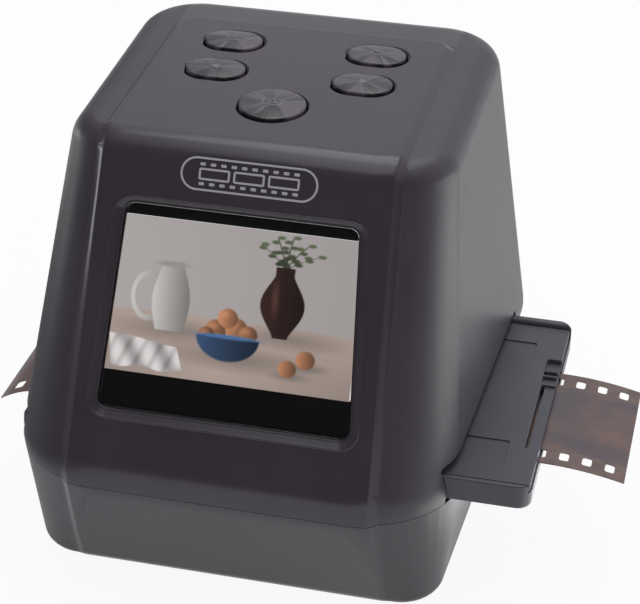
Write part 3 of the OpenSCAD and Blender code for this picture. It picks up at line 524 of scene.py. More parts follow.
def housingFaces(h):
    grown, widest = h["bandHeight"], h["widestLevel"]
    return {
        "front": face(h["frontLean"], -1, (h["frontFootY"], 0), grown),
        "chin": face(-h["chinLean"], -1, (h["chinFootY"], 0), grown),
        "top": face(90 - h["topRise"], -1, (h["topStartY"], h["topLevel"]), grown),
        "foot": face(-90, 1, (0, 0)),
        "rear": face(h["rearLean"], 1, (h["rearY"], widest)),
        "rearFoot": faceBetween((h["rearFootY"], 0), (h["rearY"], widest)),
        "side": face(h["sideLean"], 1, (h["sideHalfWidth"], widest)),
        "sideFoot": faceBetween((h["footHalfWidth"], 0), (h["sideHalfWidth"], widest)),
    }


faces = housingFaces(housing)


# Points of the rounded form, drawn in by inset; grown outwards, it keeps its underside
def formPoints(inset):
    points = []
    for first, second, lateral, towards, flare, planR, edgeR in housing["corners"]:
        y, z = crossing(drawnIn(faces[first], edgeR), drawnIn(faces[second], edgeR))
        x = atHeight(drawnIn(faces[lateral], edgeR), z) - (planR - edgeR) + flare
        y -= towards * (planR - edgeR)
        z += max(0.0, -inset) if second == "foot" else 0.0
        start = -95.0 if towards < 0 else -5.0
        for around in arc(start, start + 100.0, round(100.0 / housing["turnStep"])):
            for tilt in arc(-100, 100, round(200 / housing["tubeStep"])):
                reach = planR - edgeR + (edgeR - inset) * math.cos(tilt)
                if reach >= 0:
                    px, py = x + reach * math.cos(around), y + reach * math.sin(around)
                    points += [(side * px, py, z + (edgeR - inset) * math.sin(tilt)) for side in (1, -1)]
    return points


def form(inset):
    return fromBmesh(hullShape(formPoints(inset)))


# Planes round the raised band, moved outwards
def bandPlanes(upper, out):
    h = housing
    low = (h["bandChinHalf"], h["widestLevel"]) if upper else (h["bandFootHalf"], 0.0)
    high = (h["bandTopHalf"], h["topLevel"]) if upper else (h["bandChinHalf"], h["widestLevel"])
    slope = (high[0] - low[0]) / (high[1] - low[1])
    planes = []
    for side in (-1, 1):
        normal = Vector((side, 0, -slope)).normalized()
        planes.append((Vector((side * low[0], 0, low[1])) + normal * out, normal))
    radius = h["bandEndRadius"]
    for a in arc(-81, 81, 18):  # the rounded rear end
        normal = Vector((math.sin(a), math.cos(a), 0))
        centre = Vector((math.copysign(h["bandTopHalf"] - radius, a), h["bandEndY"] - radius, 0))
        planes.append((centre + normal * (radius + out), normal))
    return planes


# The raised band as one convex body whose edge is softly stepped
def bandBody(upper, inset):
    points = []
    for grown, out in housing["bandSteps"]:
        shape = hullShape(formPoints(inset - grown))
        for place, normal in bandPlanes(upper, out - inset):
            geometry = [*shape.verts, *shape.edges, *shape.faces]
            bmesh.ops.bisect_plane(shape, geom=geometry, plane_co=place, plane_no=normal, clear_outer=True)
        points += [v.co.copy() for v in shape.verts]
        shape.free()
    return fromBmesh(hullShape(points))


def outsideBody(upper, inset=0.0):
    return add(form(inset), bandBody(upper, inset))


# One half of the housing: solid outside, groove along the parting line, hollow inside
def halfShell(upper, seam):
    h = housing
    far, parting, up = h["farOut"], h["parting"], 1 if upper else -1
    shell = keepInside(outsideBody(upper), block((-far, -far, parting), (far, far, 130 if upper else -10)))
    groove = block((-far, -far, parting + up * seam), (far, far, parting - up * 0.3))
    return cut(shell, cut(groove, outsideBody(upper, h["seam"])), form(h["wall"]))


onFront = moved(0, housing["frontFootY"], 0) @ rotated(90 - housing["frontLean"], "X")
onTop = moved(0, housing["topStartY"], housing["topLevel"]) @ rotated(housing["topRise"], "X")
alongX = Matrix(((0, 0, 1), (1, 0, 0), (0, 1, 0))).to_4x4()
alongY = Matrix(((1, 0, 0), (0, 0, 1), (0, 1, 0))).to_4x4()


# A turned post or hole at each place of a set of fixings
def atFixings(name, profile, steps, on=Matrix()):
    f = fixings[name]
    return [turned(profile, on @ moved(side * f["half"], y, 0), steps) for side in (-1, 1) for y in f["y"]]


def posts(name, kind, on=Matrix()):  # straight ones
    *sizes, steps = fixings[name][kind]
    return atFixings(name, rod(*sizes), steps, on)


screen = {
    "topHalf": 23.75, "lowHalf": 26.1, "low": 48.9, "top": 90.7, "cornerRadius": 2.0, "topGrowth": 0.62,
    "depth": 0.9, "thickness": 1.0, "ledge": 0.15,
    "beads": ((2.05, -0.16, 0.34), (0.42, -0.78, 0.22)),  # how far out, height, radius
    "frame": ((1.5, 3.3), (0.16, 2.08), (0.0, 1.86), (-0.14, 1.62), (-0.76, 0.42), (-0.9, 0.2), (-1.9, 0.15)),
    "panelWidth": 60.2, "panelHeight": 42.7, "panelMiddle": 70.5, "panelFace": -3.3,
    "pocketBack": -9.3, "pocketRoom": 0.3,
}


# Outline of the window, grown outwards
def windowOutline(grow, height, steps=8):
    s = screen
    edge = faceBetween((s["lowHalf"], s["low"]), (s["topHalf"], s["top"]), s["cornerRadius"])
    slant = math.degrees(math.asin(edge[0][1]))
    radius = s["cornerRadius"] + grow
    # a narrower frame at the top
    upright = s["cornerRadius"] + max(grow, 0.0) * s["topGrowth"] + min(grow, 0.0)
    right = []
    for level, first, last, rise in ((s["low"] + s["cornerRadius"], -90, slant, radius),
                                     (s["top"] - s["cornerRadius"], slant, 90, upright)):
        for a in arc(first, last, steps):
            right.append((atHeight(edge, level) + radius * math.cos(a), level + rise * math.sin(a)))
    return [onFront @ Vector((x, y, height)) for x, y in right + [(-x, y) for x, y in reversed(right)]]


# A thin round bead along the window's outline
def windowBead(grow, height, radius, steps=10):
    return loft([windowOutline(grow + radius * math.cos(a), height + radius * math.sin(a))
                 for a in circle(steps)], looped=True)


keys = {
    "width": 12.7, "depth": 9.3, "roundDiameter": 14.0, "gap": 0.3, "proud": 1.0, "crown": 0.42, "edge": 0.45,
    "stem": 2.5, "flangeTop": -3.3, "flange": 1.0, "flangeReach": 0.8, "foot": -6.0, "points": 72,
    "ringPitch": 0.55, "ringHeight": 0.024, "rows": 50,
    "rim": ((-6.0, 0.0), (-0.34, 0.0), (-0.12, 0.08), (0.0, 0.26), (0.3, 0.7)),  # height, how far out
    "places": {
        "back_left": (-15.84, 43.9), "back_right": (15.84, 43.9),
        "front_left": (-15.84, 29.6), "front_right": (15.84, 29.6), "round_middle": (0.0, 16.0)},
}


def keyHalf(name):  # half the straight part and the radius of a key
    if name == "round_middle":
        return 0.0, keys["roundDiameter"] / 2
    return (keys["width"] - keys["depth"]) / 2, keys["depth"] / 2


def domeHeight(name, dx, dy):
    half, radius = keyHalf(name)
    return keys["proud"] - keys["crown"] * ((dx / (half + radius)) ** 2 + (dy / radius) ** 2)


# Points round a key: two half circles joined by straight lines; a round key has no straight part
def keyRing(name, straight, reach, height, onDome=False):
    points = []
    for a in circle(keys["points"], 0.5):
        dx, dy = math.copysign(straight, math.cos(a)) + reach * math.cos(a), reach * math.sin(a)
        level = height + (domeHeight(name, dx, dy) if onDome else 0.0)
        if onDome and height == 0.0:  # fine turned rings round the middle
            wave = math.cos(2 * math.pi * math.hypot(dx, dy) / keys["ringPitch"])
            level -= keys["ringHeight"] * (0.5 + 0.5 * wave)
        points.append(onTop @ moved(*keys["places"][name], 0) @ Vector((dx, dy, level)))
    return points


tray = {
    "x": (-46.0, 62.0), "y": (-36.5, 29.5), "z": 29.0, "corner": 3.0, "frontTop": 34.4, "rimTop": 35.2,
    "rimWidth": 2.5, "rimRound": 1.1, "frontWidth": 1.2, "seat": 32.4, "channelFloor": 31.4,
    "channelHalf": 17.75, "gate": (37.0, 25.0), "gateCorner": 0.6, "gap": 0.4, "slotZ": (24.0, 36.0),
    "slotCorner": 0.9, "grooveEnds": ((40, -0.5, 27), (70, 15, 31)), "grooveDepth": 0.8,
    "clicks": 5, "clickPitch": 22.0, "clickRadius": 0.9, "clickRise": 1.6, "clickDepth": 0.9,
    "edge": 0.5, "frontEdge": 0.35, "rimEdge": 1.15, "sharp": 0.02, "sunk": 1.0, "bevel": 0.22,
}
trayMiddle = sum(tray["x"]) / 2
slotY = (tray["y"][0] - tray["gap"], tray["y"][1] + tray["gap"])
ports = {  # middle, level, width and height; a round one has no height
    "card": (-12.0, 45.2, 26.4, 3.6), "usb": (11.0, 45.6, 8.6, 4.6), "jack": (24.0, 46.6, 6.6, None),
}


# An opening in the rear wall, flared outwards
def portTool(x, z, width, height):
    wall = atHeight(faces["rear"], z)
    flare = ((0, 47.5), (0, wall - 0.45), (0.12, wall - 0.2), (0.4, wall + 0.02), (0.9, wall + 0.6))
    if height is None:
        return turned([(width / 2 + wider, y) for wider, y in flare], moved(x, 0, z) @ alongY)
    return plate(span(x, width), span(z, height), 0.5, [(-wider, y) for wider, y in flare], place=alongY)


def upperShell():
    h, s, t, case = housing, screen, tray, fixings["case"]
    shell = halfShell(True, h["seam"])
    # screw bosses inside, cut to the form
    trimmed = posts("display", "boss", onFront) + posts("case", "upperBoss")
    y, low, high, rib, reach = *case["y"], *case["upperBoss"][1:3], case["ribHalf"], case["ribReach"]
    for side in (-1, 1):
        x = side * case["half"]
        trimmed += [block((x, y - rib, low), (x + side * reach, y + rib, high)),
                    block((x - rib, y, low), (x + rib, y + reach, high))]
    for boss in trimmed:
        keepInside(boss, form(h["wall"] / 2))
    add(shell, *posts("keyBoard", "boss", onTop), *trimmed)
    # window recess with a sloped frame whose outer edge is softened
    cut(shell, loft([windowOutline(grow, height) for height, grow in s["frame"]]))
    cut(shell, loft([windowOutline(-s["ledge"], height) for height in (-12, 4)]))
    add(shell, *[windowBead(*bead) for bead in s["beads"]])
    x, y = [span(middle, s[size] + 2 * s["pocketRoom"]) for middle, size in (
        (0, "panelWidth"), (s["panelMiddle"], "panelHeight"))]
    pocket = block((x[0], y[0], s["pocketBack"]), (x[1], y[1], s["panelFace"] + 0.1))
    pocket.data.transform(onFront)
    cut(shell, pocket)
    # key holes with softened rims, and pilot holes in the bosses
    for name in keys["places"]:
        straight, radius = keyHalf(name)
        cut(shell, loft([keyRing(name, straight, radius + keys["gap"] + grow, height)
                         for height, grow in keys["rim"]]))
    cut(shell, *posts("keyBoard", "pilot", onTop), *posts("case", "pilot"))
    # slots for the tray, with a softened upper lip, and the shallow grooves behind them
    cut(shell, plate(slotY, t["slotZ"], t["slotCorner"], rod(0, -60, 60), place=alongX))
    for side in (-1, 1):
        first, last = [(side * x, slotY[1] + y, z) for x, y, z in t["grooveEnds"]]
        cut(shell, cut(block(first, last), form(t["grooveDepth"])))
    cut(shell, *[portTool(*port) for port in ports.values()])
    return finishPiece(shell, "upperShell", "housing", "housing", ["upper_housing"])


lower = {
    "wellRim": ((3.5, -0.6), (3.15, -0.02), (2.9, 0.25), (2.9, 18)),  # radius, height
    "seatRim": ((5.6, -0.5), (5.3, -0.02), (5.1, 0.2), (5.1, 0.8)),
    "hookX": 18, "hookHalf": 4, "hookDepth": 1.8, "hookDown": 4.5, "hookUp": 3.5, "hookGap": 0.3,
    "lipTurn": 40, "lipHalf": 3, "lipHeight": 4, "lipOut": 0.2,
}


def baseShell():
    h, b = housing, lower
    shell = halfShell(False, h["seam"] * 0.5)
    parting = h["parting"]
    add(shell, *posts("case", "lowerBoss"), *posts("deck", "boss"), *posts("lamps", "boss"))
    hookY = atHeight(drawnIn(faces["chin"], h["wall"] + b["hookGap"]), parting)
    for x in (-b["hookX"], b["hookX"]):
        add(shell, block((x - b["hookHalf"], hookY, parting - b["hookDown"]),
                         (x + b["hookHalf"], hookY + b["hookDepth"], parting + b["hookUp"])))
    cut(shell, *atFixings("case", b["wellRim"], 40), *posts("case", "through"),
        *posts("deck", "pilot"), *atFixings("feet", b["seatRim"], 48))
    for side in (-1, 1):  # sloped lower lips of the tray slots
        lip = block((-b["lipHalf"], slotY[0], 0), (b["lipHalf"], slotY[1], b["lipHeight"]))
        edge = moved(side * (h["sideHalfWidth"] + b["lipOut"]), 0, parting)
        lip.data.transform(edge @ rotated(side * b["lipTurn"], "Y"))
        cut(shell, lip)
    return finishPiece(shell, "baseShell", "housing", "housing", ["base_housing"])


def windowPane():
    front = -screen["depth"]
    back = front - screen["thickness"]
    profile = ((-0.1, back), (0.0, back + 0.1), (0.0, front - 0.12), (-0.04, front - 0.03), (-0.14, front))
    pane = loft([windowOutline(grow, height) for grow, height in profile])
    return finishPiece(pane, "windowPane", "housing", "window", ["screen_window"])


picture = {
    "x": (-27.6, 25.1), "y": (56.5, 88.2), "height": -2.08, "thickness": 1.2, "columns": 300, "rows": 176,
    "wall": (176, 170, 168), "table": (170, 154, 145), "vase": (58, 38, 34), "jug": (214, 210, 206),
    "bowl": (58, 84, 118), "fruit": (204, 142, 104), "cloth": (222, 217, 215), "leaf": (74, 82, 62),
    "vaseX": 1.18, "vaseTop": 0.76, "jugX": 0.46, "bowlX": 0.85, "bowlY": 0.30, "tableEdge": 0.40,
    # how far each stem leans and how long it is
    "stems": ((-0.17, 0.15), (-0.07, 0.2), (0.03, 0.21), (0.13, 0.17), (0.2, 0.11)),
    "shadows": ((1.25, 0.335, 0.22, 0.04), (0.52, 0.30, 0.23, 0.045), (0.91, 0.17, 0.3, 0.05)),
    "piled": ((0.77, 0.34, 0.068, 0.92), (0.90, 0.36, 0.072, 1.0), (0.84, 0.42, 0.066, 1.05),
              (0.98, 0.33, 0.06, 0.88), (0.71, 0.30, 0.055, 0.8)),  # place, radius, brightness
    "loose": ((1.36, 0.22, 0.062), (1.25, 0.15, 0.058)),
}


# A still life worked out from formulas: u runs to the right in picture heights, v runs upwards
def paintPicture(u, v, p):
    wide = u.max()
    canvas = np.zeros((*u.shape, 3))
    vaseX, jugX, bowlX, bowlY = p["vaseX"], p["jugX"], p["bowlX"], p["bowlY"]

    def cover(mask, name, light=1.0):
        mask = np.asarray(mask)[..., None]
        canvas[:] = canvas * (1 - mask) + np.array(p[name]) * np.asarray(light)[..., None] * mask

    def soft(inside, blur=0.006):  # 0 outside a line, 1 well inside it
        return np.clip(inside / blur, 0, 1)

    def oval(x, y, halfX, halfY, blur=0.009):
        distance = np.hypot((u - x) / halfX, (v - y) / halfY) - 1
        return np.clip(0.5 - distance * min(halfX, halfY) / blur, 0, 1)

    def shade(x, half, depth):  # lit from the left, darker to the right
        return 1 - depth * (0.5 + 0.5 * np.clip((u - x) / half, -1, 1))

    cover(1.0, "wall", 1.03 - 0.07 * (u / wide) - 0.05 * (v - 0.7) ** 2)
    table = soft(p["tableEdge"] + 0.012 * np.sin(u * 2.1) - v)
    cover(table, "table", 1.06 - 0.35 * (0.42 - v) * np.abs(u / wide - 0.45) * 2)
    for shadow in p["shadows"]:
        cover(oval(*shadow, 0.09) * 0.45, "table", 0.55)
    # vase with leafy stems
    for lean, reach in p["stems"]:
        along = np.clip((v - p["vaseTop"]) / reach, 0, 1)
        stem = soft(0.006 - np.abs(u - vaseX - lean * along ** 1.4), 0.005)
        cover(stem * (v > p["vaseTop"]) * (v < p["vaseTop"] + reach), "leaf", 0.7)
        for step in range(6):
            t = (step + 1.5) / 6.5
            x = vaseX + lean * t ** 1.4 + (0.024 if step % 2 else -0.024)
            cover(oval(x, p["vaseTop"] + 0.005 + reach * t, 0.026, 0.012, 0.006), "leaf", 0.8 + 0.1 * step)
    t = np.clip((v - 0.34) / 0.44, 0, 1)
    half = 0.052 + 0.088 * np.sin(np.pi * np.clip(t * 1.12, 0, 1)) ** 1.3 + 0.012 * t
    cover(soft(half - np.abs(u - vaseX)) * (v > 0.33) * (v < 0.78), "vase", shade(vaseX, 0.14, 0.5))
    cover(oval(vaseX - 0.05, 0.58, 0.018, 0.09, 0.03) * 0.5, "vase", 2.2)
    # white jug
    handleX = jugX - 0.15
    ring = np.abs(np.hypot((u - handleX) / 0.10, (v - 0.50) / 0.14) - 1)
    cover(soft(0.17 - ring, 0.08), "jug", shade(handleX, 0.12, 0.3))
    t = np.clip((v - 0.30) / 0.42, 0, 1)
    half = 0.085 + 0.05 * np.sin(np.pi * np.clip(t * 0.95 + 0.05, 0, 1)) - 0.02 * t
    upright = (v > 0.29) * (v < 0.72 + 0.03 * (u - jugX) / 0.1)
    cover(soft(half - np.abs(u - jugX)) * upright, "jug", shade(jugX, 0.13, 0.42))
    cover(oval(jugX, 0.715, 0.105, 0.018, 0.012), "jug", 0.72)
    # bowl of fruit
    for x, y, size, light in p["piled"]:
        cover(oval(x, y, size, size * 0.94), "fruit", shade(x, size, 0.45) * light)
        cover(oval(x - size * 0.3, y + size * 0.35, size * 0.3, size * 0.22, 0.04) * 0.5, "fruit", 1.2)
    below = v < bowlY + 0.01 * np.cos((u - bowlX) * 9)
    cover(oval(bowlX, bowlY, 0.205, 0.155) * below, "bowl", shade(bowlX, 0.2, 0.55))
    cover(oval(bowlX, bowlY + 0.002, 0.205, 0.014, 0.01) * 0.8, "bowl", 1.5)
    # cloth hanging over the table's edge and two loose fruits
    edge = 0.235 + 0.012 * np.sin(u * 9.0) - 0.05 * u
    hem = 0.035 + 0.012 * np.sin(u * 23.0 + 1.0)
    across = soft(u - 0.08 - 0.1 * (0.2 - v)) * soft(0.56 - 0.35 * (v - 0.1) - u)
    broad, narrow = np.abs(np.sin(u * 15.0 + v * 9.0)), np.abs(np.sin(u * 31.0 - v * 14.0 + 0.6))
    cover(soft(edge - v) * soft(v - hem) * across, "cloth", 1.04 - 0.28 * broad ** 3 - 0.14 * narrow ** 5)
    for x, y, size in p["loose"]:
        cover(oval(x + 0.02, y - size * 0.8, size * 1.3, size * 0.3, 0.04) * 0.5, "table", 0.5)
        cover(oval(x, y, size, size * 0.93), "fruit", shade(x, size, 0.5))
    return linear(np.clip(canvas, 0, 255))


def displayPicture():
    p = picture
    xs = np.linspace(*p["x"], p["columns"] + 1)
    ys = np.linspace(*p["y"], p["rows"] + 1)
    height = p["y"][1] - p["y"][0]
    colours = paintPicture(*np.meshgrid((xs - xs[0]) / height, (ys - ys[0]) / height), p)
    shape = bmesh.new()
    layer = shape.verts.layers.float_color.new("picture")
    grid = []
    for y, tints in zip(ys, colours):
        grid.append([shape.verts.new(onFront @ Vector((x, y, p["height"]))) for x in xs])
        for vert, tint in zip(grid[-1], tints):
            vert[layer] = (*tint, 1.0)
    for low, high in zip(grid, grid[1:]):
        for corners in zip(low, low[1:], high[1:], high):
            shape.faces.new(corners)
    # sides and a plain back make it a closed plate
    rim = grid[0][:-1] + [row[-1] for row in grid[:-1]] + grid[-1][:0:-1] + [row[0] for row in grid[:0:-1]]
    down = onFront.to_3x3() @ Vector((0, 0, -p["thickness"]))
    under = [shape.verts.new(vert.co + down) for vert in rim]
    for n, vert in enumerate(rim):
        after = (n + 1) % len(rim)
        shape.faces.new((vert, under[n], under[after], rim[after]))
    shape.faces.new(reversed(under))
    return finishPiece(fromBmesh(shape), "displayPicture", "housing", "picture")


mark = {
    "x": (-13.1, 14.9), "y": (94.6, 101.3), "line": 0.42, "levels": (-0.05, 0.03), "side": 3.4,
    "dots": 10, "dotSize": (1.1, 0.6), "dotCorner": 0.15, "dotReach": 1.95,
    "frames": 3, "frameHeight": 2.4, "frameGap": 0.7, "frameCorner": 0.4,
}


# Pictogram above the window: a length of film in a frame with round ends
def frontMark():
    m = mark
    middleY = sum(m["y"]) / 2
    parts = [ringPlate(m["x"], m["y"], (m["y"][1] - m["y"][0]) / 2, m["line"], m["levels"], 14)]
    left, right = m["x"][0] + m["side"], m["x"][1] - m["side"]
    for i in range(m["dots"]):
        x = span(left + (right - left) / m["dots"] * (i + 0.5), m["dotSize"][0])
        for y in (middleY - m["dotReach"], middleY + m["dotReach"]):
            parts.append(plate(x, span(y, m["dotSize"][1]), m["dotCorner"], rod(0, *m["levels"]), 3))
    width = (right - left) / m["frames"]
    for i in range(m["frames"]):
        x = span(left + width * (i + 0.5), width - m["frameGap"])
        y = span(middleY, m["frameHeight"])
        parts.append(ringPlate(x, y, m["frameCorner"], m["line"], m["levels"], 3))
    thing = joined(parts)
    thing.data.transform(onFront)
    return finishPiece(thing, "frontMark", "housing", "print")


def makeKey(name):
    k = keys
    half, radius = keyHalf(name)
    bottom, wide, inner = k["flangeTop"] - k["flange"], radius + k["flangeReach"], radius - k["edge"]
    rings = [keyRing(name, *row) for row in (
        (0, k["stem"], k["foot"]), (0, k["stem"], bottom), (half, wide, bottom),
        (half, wide, k["flangeTop"]), (half, radius, k["flangeTop"]))]
    for a in arc(0, 90, 6):
        reach, drop = k["edge"] * (1 - math.cos(a)), k["edge"] * (1 - math.sin(a))
        rings.append(keyRing(name, half, radius - reach, -drop, True))
    for i in range(1, k["rows"]):
        share = 1 - i / k["rows"]
        rings.append(keyRing(name, half * share, inner * share, 0.0, True))
    body = "key_" + name
    thing = finishPiece(loft(rings), body + "_cap", body, "key", [body], crisp=60)
    back = (onTop @ moved(*k["places"][name], 0)).inverted()
    layer = thing.data.uv_layers.new(name="keyPlane")
    for loop in thing.data.loops:
        local = back @ (thing.data.vertices[loop.vertex_index].co * 1000)
        layer.data[loop.index].uv = local.xy * 0.001
    return thing


signLevels = (-0.06, 0.035)


def arrow(pointing, size=1.15):
    tip, back = pointing * (0.2 + size), pointing * (0.2 - size * 0.8)
    points = [(tip, 0), (back, size), (back, -size)]
    return loft([[(*p, level) for p in points] for level in signLevels])


def bar(x, y, extra=0.0):
    return plate(x, y, 0.16, rod(0, signLevels[0], signLevels[1] + extra), 3)


def hoop(width, height, radius, line):
    return ringPlate(span(0, width), span(0, height), radius, line, signLevels)


signs = {  # what each key's sign is made of
    "front_left": [(arrow, -1)],
    "front_right": [(arrow, 1)],
    "back_left": [(bar, (-1.5, 1.5), span(y, 0.34)) for y in (-0.95, 0, 0.95)],
    "back_right": [(hoop, 2.5, 2.5, 1.25, 0.34), (bar, (-0.17, 0.17), (0.1, 1.75), 0.01)],
    "round_middle": [(hoop, 4.2, 2.9, 0.6, 0.34), (hoop, 1.5, 1.5, 0.75, 0.3)],
}


# Small raised signs on the keys: a flat outline laid on the dome
def keySigns(name):
    thing = joined([make(*sizes) for make, *sizes in signs[name]])
    place = onTop @ moved(*keys["places"][name], 0)
    for v in thing.data.vertices:
        v.co = place @ (v.co + Vector((0, 0, domeHeight(name, v.co.x, v.co.y))))
    return finishPiece(thing, "key_" + name + "_sign", "key_" + name, "keyPrint")


def gateTool(profile):
    t = tray
    return plate(span(trayMiddle, t["gate"][0]), span(filmY, t["gate"][1]), t["gateCorner"], profile, 4)


def trayBody():
    t = tray
    front, rimIn, bend = t["y"][0] + t["frontWidth"], t["y"][1] - t["rimWidth"], t["rimRound"]
    low, sharp, bevel = t["z"] + t["sunk"], t["sharp"], t["bevel"]
    reach = (t["x"][0] - 5, t["x"][1] + 5)
    body, wall, rim = [plate(t["x"], t["y"], t["corner"], roundEdge(*edge)) for edge in (
        (t["z"], t["seat"], t["edge"], sharp), (low, t["frontTop"], sharp, t["frontEdge"]),
        (low, t["rimTop"], sharp, t["rimEdge"], 6))]
    cut(wall, extrusion([(60, 20), (60, 50), (front - 0.3, 50), (front - bevel, t["frontTop"] + 0.01),
                         (front, t["frontTop"] - bevel), (front, 20)], reach))
    inner = [(rimIn + inset, height) for inset, height in roundEdge(0, t["rimTop"], 0, bend, 6)[7:]]
    cut(rim, extrusion([(-60, 20), (rimIn, 20), *inner, (rimIn + bend, 50), (-60, 50)], reach))
    add(body, wall, rim)
    side = [(t["channelHalf"], t["channelFloor"]), (t["channelHalf"], t["seat"] - 0.15),
            (t["channelHalf"] + 0.2, t["seat"] + 0.05), (t["channelHalf"] + 0.2, 50)]
    channel = [(filmY + y, z) for y, z in side] + [(filmY - y, z) for y, z in reversed(side)]
    cut(body, extrusion(channel, reach), gateTool(((-0.8, 28.2), (-0.3, 29.0), (0, 29.5), (0, 40))))
    for i in range(t["clicks"]):  # click notches along the underside of the back wall
        x = trayMiddle + (i - t["clicks"] // 2) * t["clickPitch"]
        place = moved(x, t["y"][1], t["z"] + t["clickRise"]) @ rotated(90, "X")
        cut(body, turned(rod(t["clickRadius"], -2, t["clickDepth"]), place, 20))
    return finishPiece(body, "trayBody", "tray", "tray", ["tray_base"])


lid = {
    "top": 34.2, "gap": 0.4, "endGap": 0.4, "backGap": 0.05, "corner": 0.5, "edges": (0.05, 0.22),
    "slitY": (-21.9, 2.8), "slitInset": 2.6, "slitWidth": 0.8, "slitCorner": 0.35,
    "barDrop": 0.5, "barCorner": 0.3, "past": 3.0,
    "notchY": (3.3, 13.5), "notchInset": 3.6, "notchDepth": 1.0, "notchCorner": 0.5,
    "ribs": (0.36, 0.56), "ribX": (0.6, 3.8), "ribWidth": 0.56, "ribCorner": 0.2,
    "ribEdge": ((0, -1.3), (0, -0.35), (0.1, -0.25)),  # how far in, height under the top
    "labelX": 32.3, "labelWidth": 30.0, "labelDepth": 0.25, "labelCorner": 0.6,
    "labels": ((-29.75, -20.25), (13.0, 19.5)),
}


def trayLid():
    t, d = tray, lid
    top = d["top"]
    softTop = ((0, top - 0.1), (-0.2, top + 0.1))
    notchFloor = top - d["notchDepth"]
    body = plate((t["x"][0] + d["endGap"], t["x"][1] - d["endGap"]),
                 (t["y"][0] + t["frontWidth"] + d["gap"], t["y"][1] - t["rimWidth"] - d["backGap"]),
                 d["corner"], roundEdge(t["seat"], top, *d["edges"]), 4)
    cut(body, gateTool(((0, 30), (0, top - 1.0), (-0.9, top + 0.15))))
    for side, end in ((-1, t["x"][0]), (1, t["x"][1])):
        slit = end - side * (d["slitInset"] + d["slitWidth"] / 2)
        past = end + side * d["past"]
        inner = end - side * d["notchInset"]
        cut(body, plate(span(slit, d["slitWidth"]), d["slitY"], d["slitCorner"], ((0, 30), *softTop), 4),
            plate((past, slit), d["slitY"], d["barCorner"], rod(0, top - d["barDrop"], top + 1), 4),
            plate((past, inner), d["notchY"], d["notchCorner"], ((0, notchFloor), *softTop), 4))
        for share in d["ribs"]:  # two small ribs across the notch
            y = d["notchY"][0] + (d["notchY"][1] - d["notchY"][0]) * share
            add(body, plate([end - side * x for x in d["ribX"]], span(y, d["ribWidth"]), d["ribCorner"],
                            [(inset, top + height) for inset, height in d["ribEdge"]], 3))
        for label in d["labels"]:
            x = span(trayMiddle + side * d["labelX"], d["labelWidth"])
            cut(body, plate(x, label, d["labelCorner"],
                            ((0, top - d["labelDepth"]), (0, top - 0.04), (-0.1, top + 0.1)), 5))
    return finishPiece(body, "trayLid", "tray", "tray", ["tray_cover"])


# A tree with one named input for each size
class GeometryTree:
    def __init__(self, name, sizes):
        self.tree = bpy.data.node_groups.new(name, "GeometryNodeTree")
        self.sizes = sizes
        newSocket = self.tree.interface.new_socket
        kinds = {int: "Int", float: "Float", tuple: "Vector", bpy.types.Object: "Object"}
        newSocket("Geometry", in_out="INPUT", socket_type="NodeSocketGeometry")
        for label, value in sizes.items():
            newSocket(label, in_out="INPUT", socket_type="NodeSocket" + kinds[type(value)])
        newSocket("Geometry", in_out="OUTPUT", socket_type="NodeSocketGeometry")
        self.inputs = self.tree.nodes.new("NodeGroupInput")

    def size(self, label):
        return Wire(self.tree, self.inputs.outputs[label])

    def add(self, kind, inputs=(), output=0, **settings):
        return makeNode(self.tree, "GeometryNode" + kind, inputs, output, **settings)

    def vector(self, x=0.0, y=0.0, z=0.0):
        return makeNode(self.tree, "ShaderNodeCombineXYZ", {0: x, 1: y, 2: z})

    def line(self, count, start, end):
        return self.add("MeshLine", {"Count": count, "Start Location": start, "Offset": end},
                        mode="END_POINTS")

    def copies(self, points, part):
        return self.add("InstanceOnPoints", {"Points": points, "Instance": part})

    def shifted(self, geometry, by):
        return self.add("Transform", {"Geometry": geometry, "Translation": by})

    def together(self, parts):
        whole = self.add("JoinGeometry")
        for part in parts:
            self.tree.links.new(part.socket, whole.socket.node.inputs[0])
        return whole

    # Ends the tree, runs it on an empty mesh and returns the result as a plain mesh
    def grow(self, geometry, finish):
        whole = self.add("RealizeInstances", {0: geometry})
        painted = self.add("SetMaterial", {"Geometry": whole, "Material": materials[finish]})
        self.tree.links.new(painted.socket, self.tree.nodes.new("NodeGroupOutput").inputs[0])
        thing = newObject("grown", bpy.data.meshes.new("grown"))
        step = thing.modifiers.new("grow", "NODES")
        step.node_group = self.tree
        for item in self.tree.interface.items_tree:
            if item.in_out == "INPUT" and item.name in self.sizes:
                step[item.identifier] = self.sizes[item.name]
        return baked(thing)


# Copies of one part at a set of fixings, such as screws and feet
def gridOf(part, name, level, finish):
    half, places = fixings[name]["half"], fixings[name]["y"]
    g = GeometryTree(name + "Grid", {
        "part": part, "columns": 2, "rows": len(places), "columnSpacing": 2 * half,
        "rowSpacing": places[-1] - places[0], "centre": (0.0, (places[0] + places[-1]) / 2, level)})
    columns, rows = g.size("columns"), g.size("rows")
    width = (columns - 1.0) * g.size("columnSpacing")
    depth = (rows - 1.0) * g.size("rowSpacing")
    line = g.line(columns, g.vector(width * -0.5), g.vector(width * 0.5))
    across = g.line(rows, g.vector(0.0, depth * -0.5), g.vector(0.0, depth * 0.5))
    points = g.add("RealizeInstances", {0: g.copies(line, across)})
    source = g.add("ObjectInfo", {"Object": g.size("part")}, 4, transform_space="ORIGINAL")
    thing = g.grow(g.shifted(g.copies(points, source), g.size("centre")), finish)
    bpy.data.objects.remove(part)
    return thing


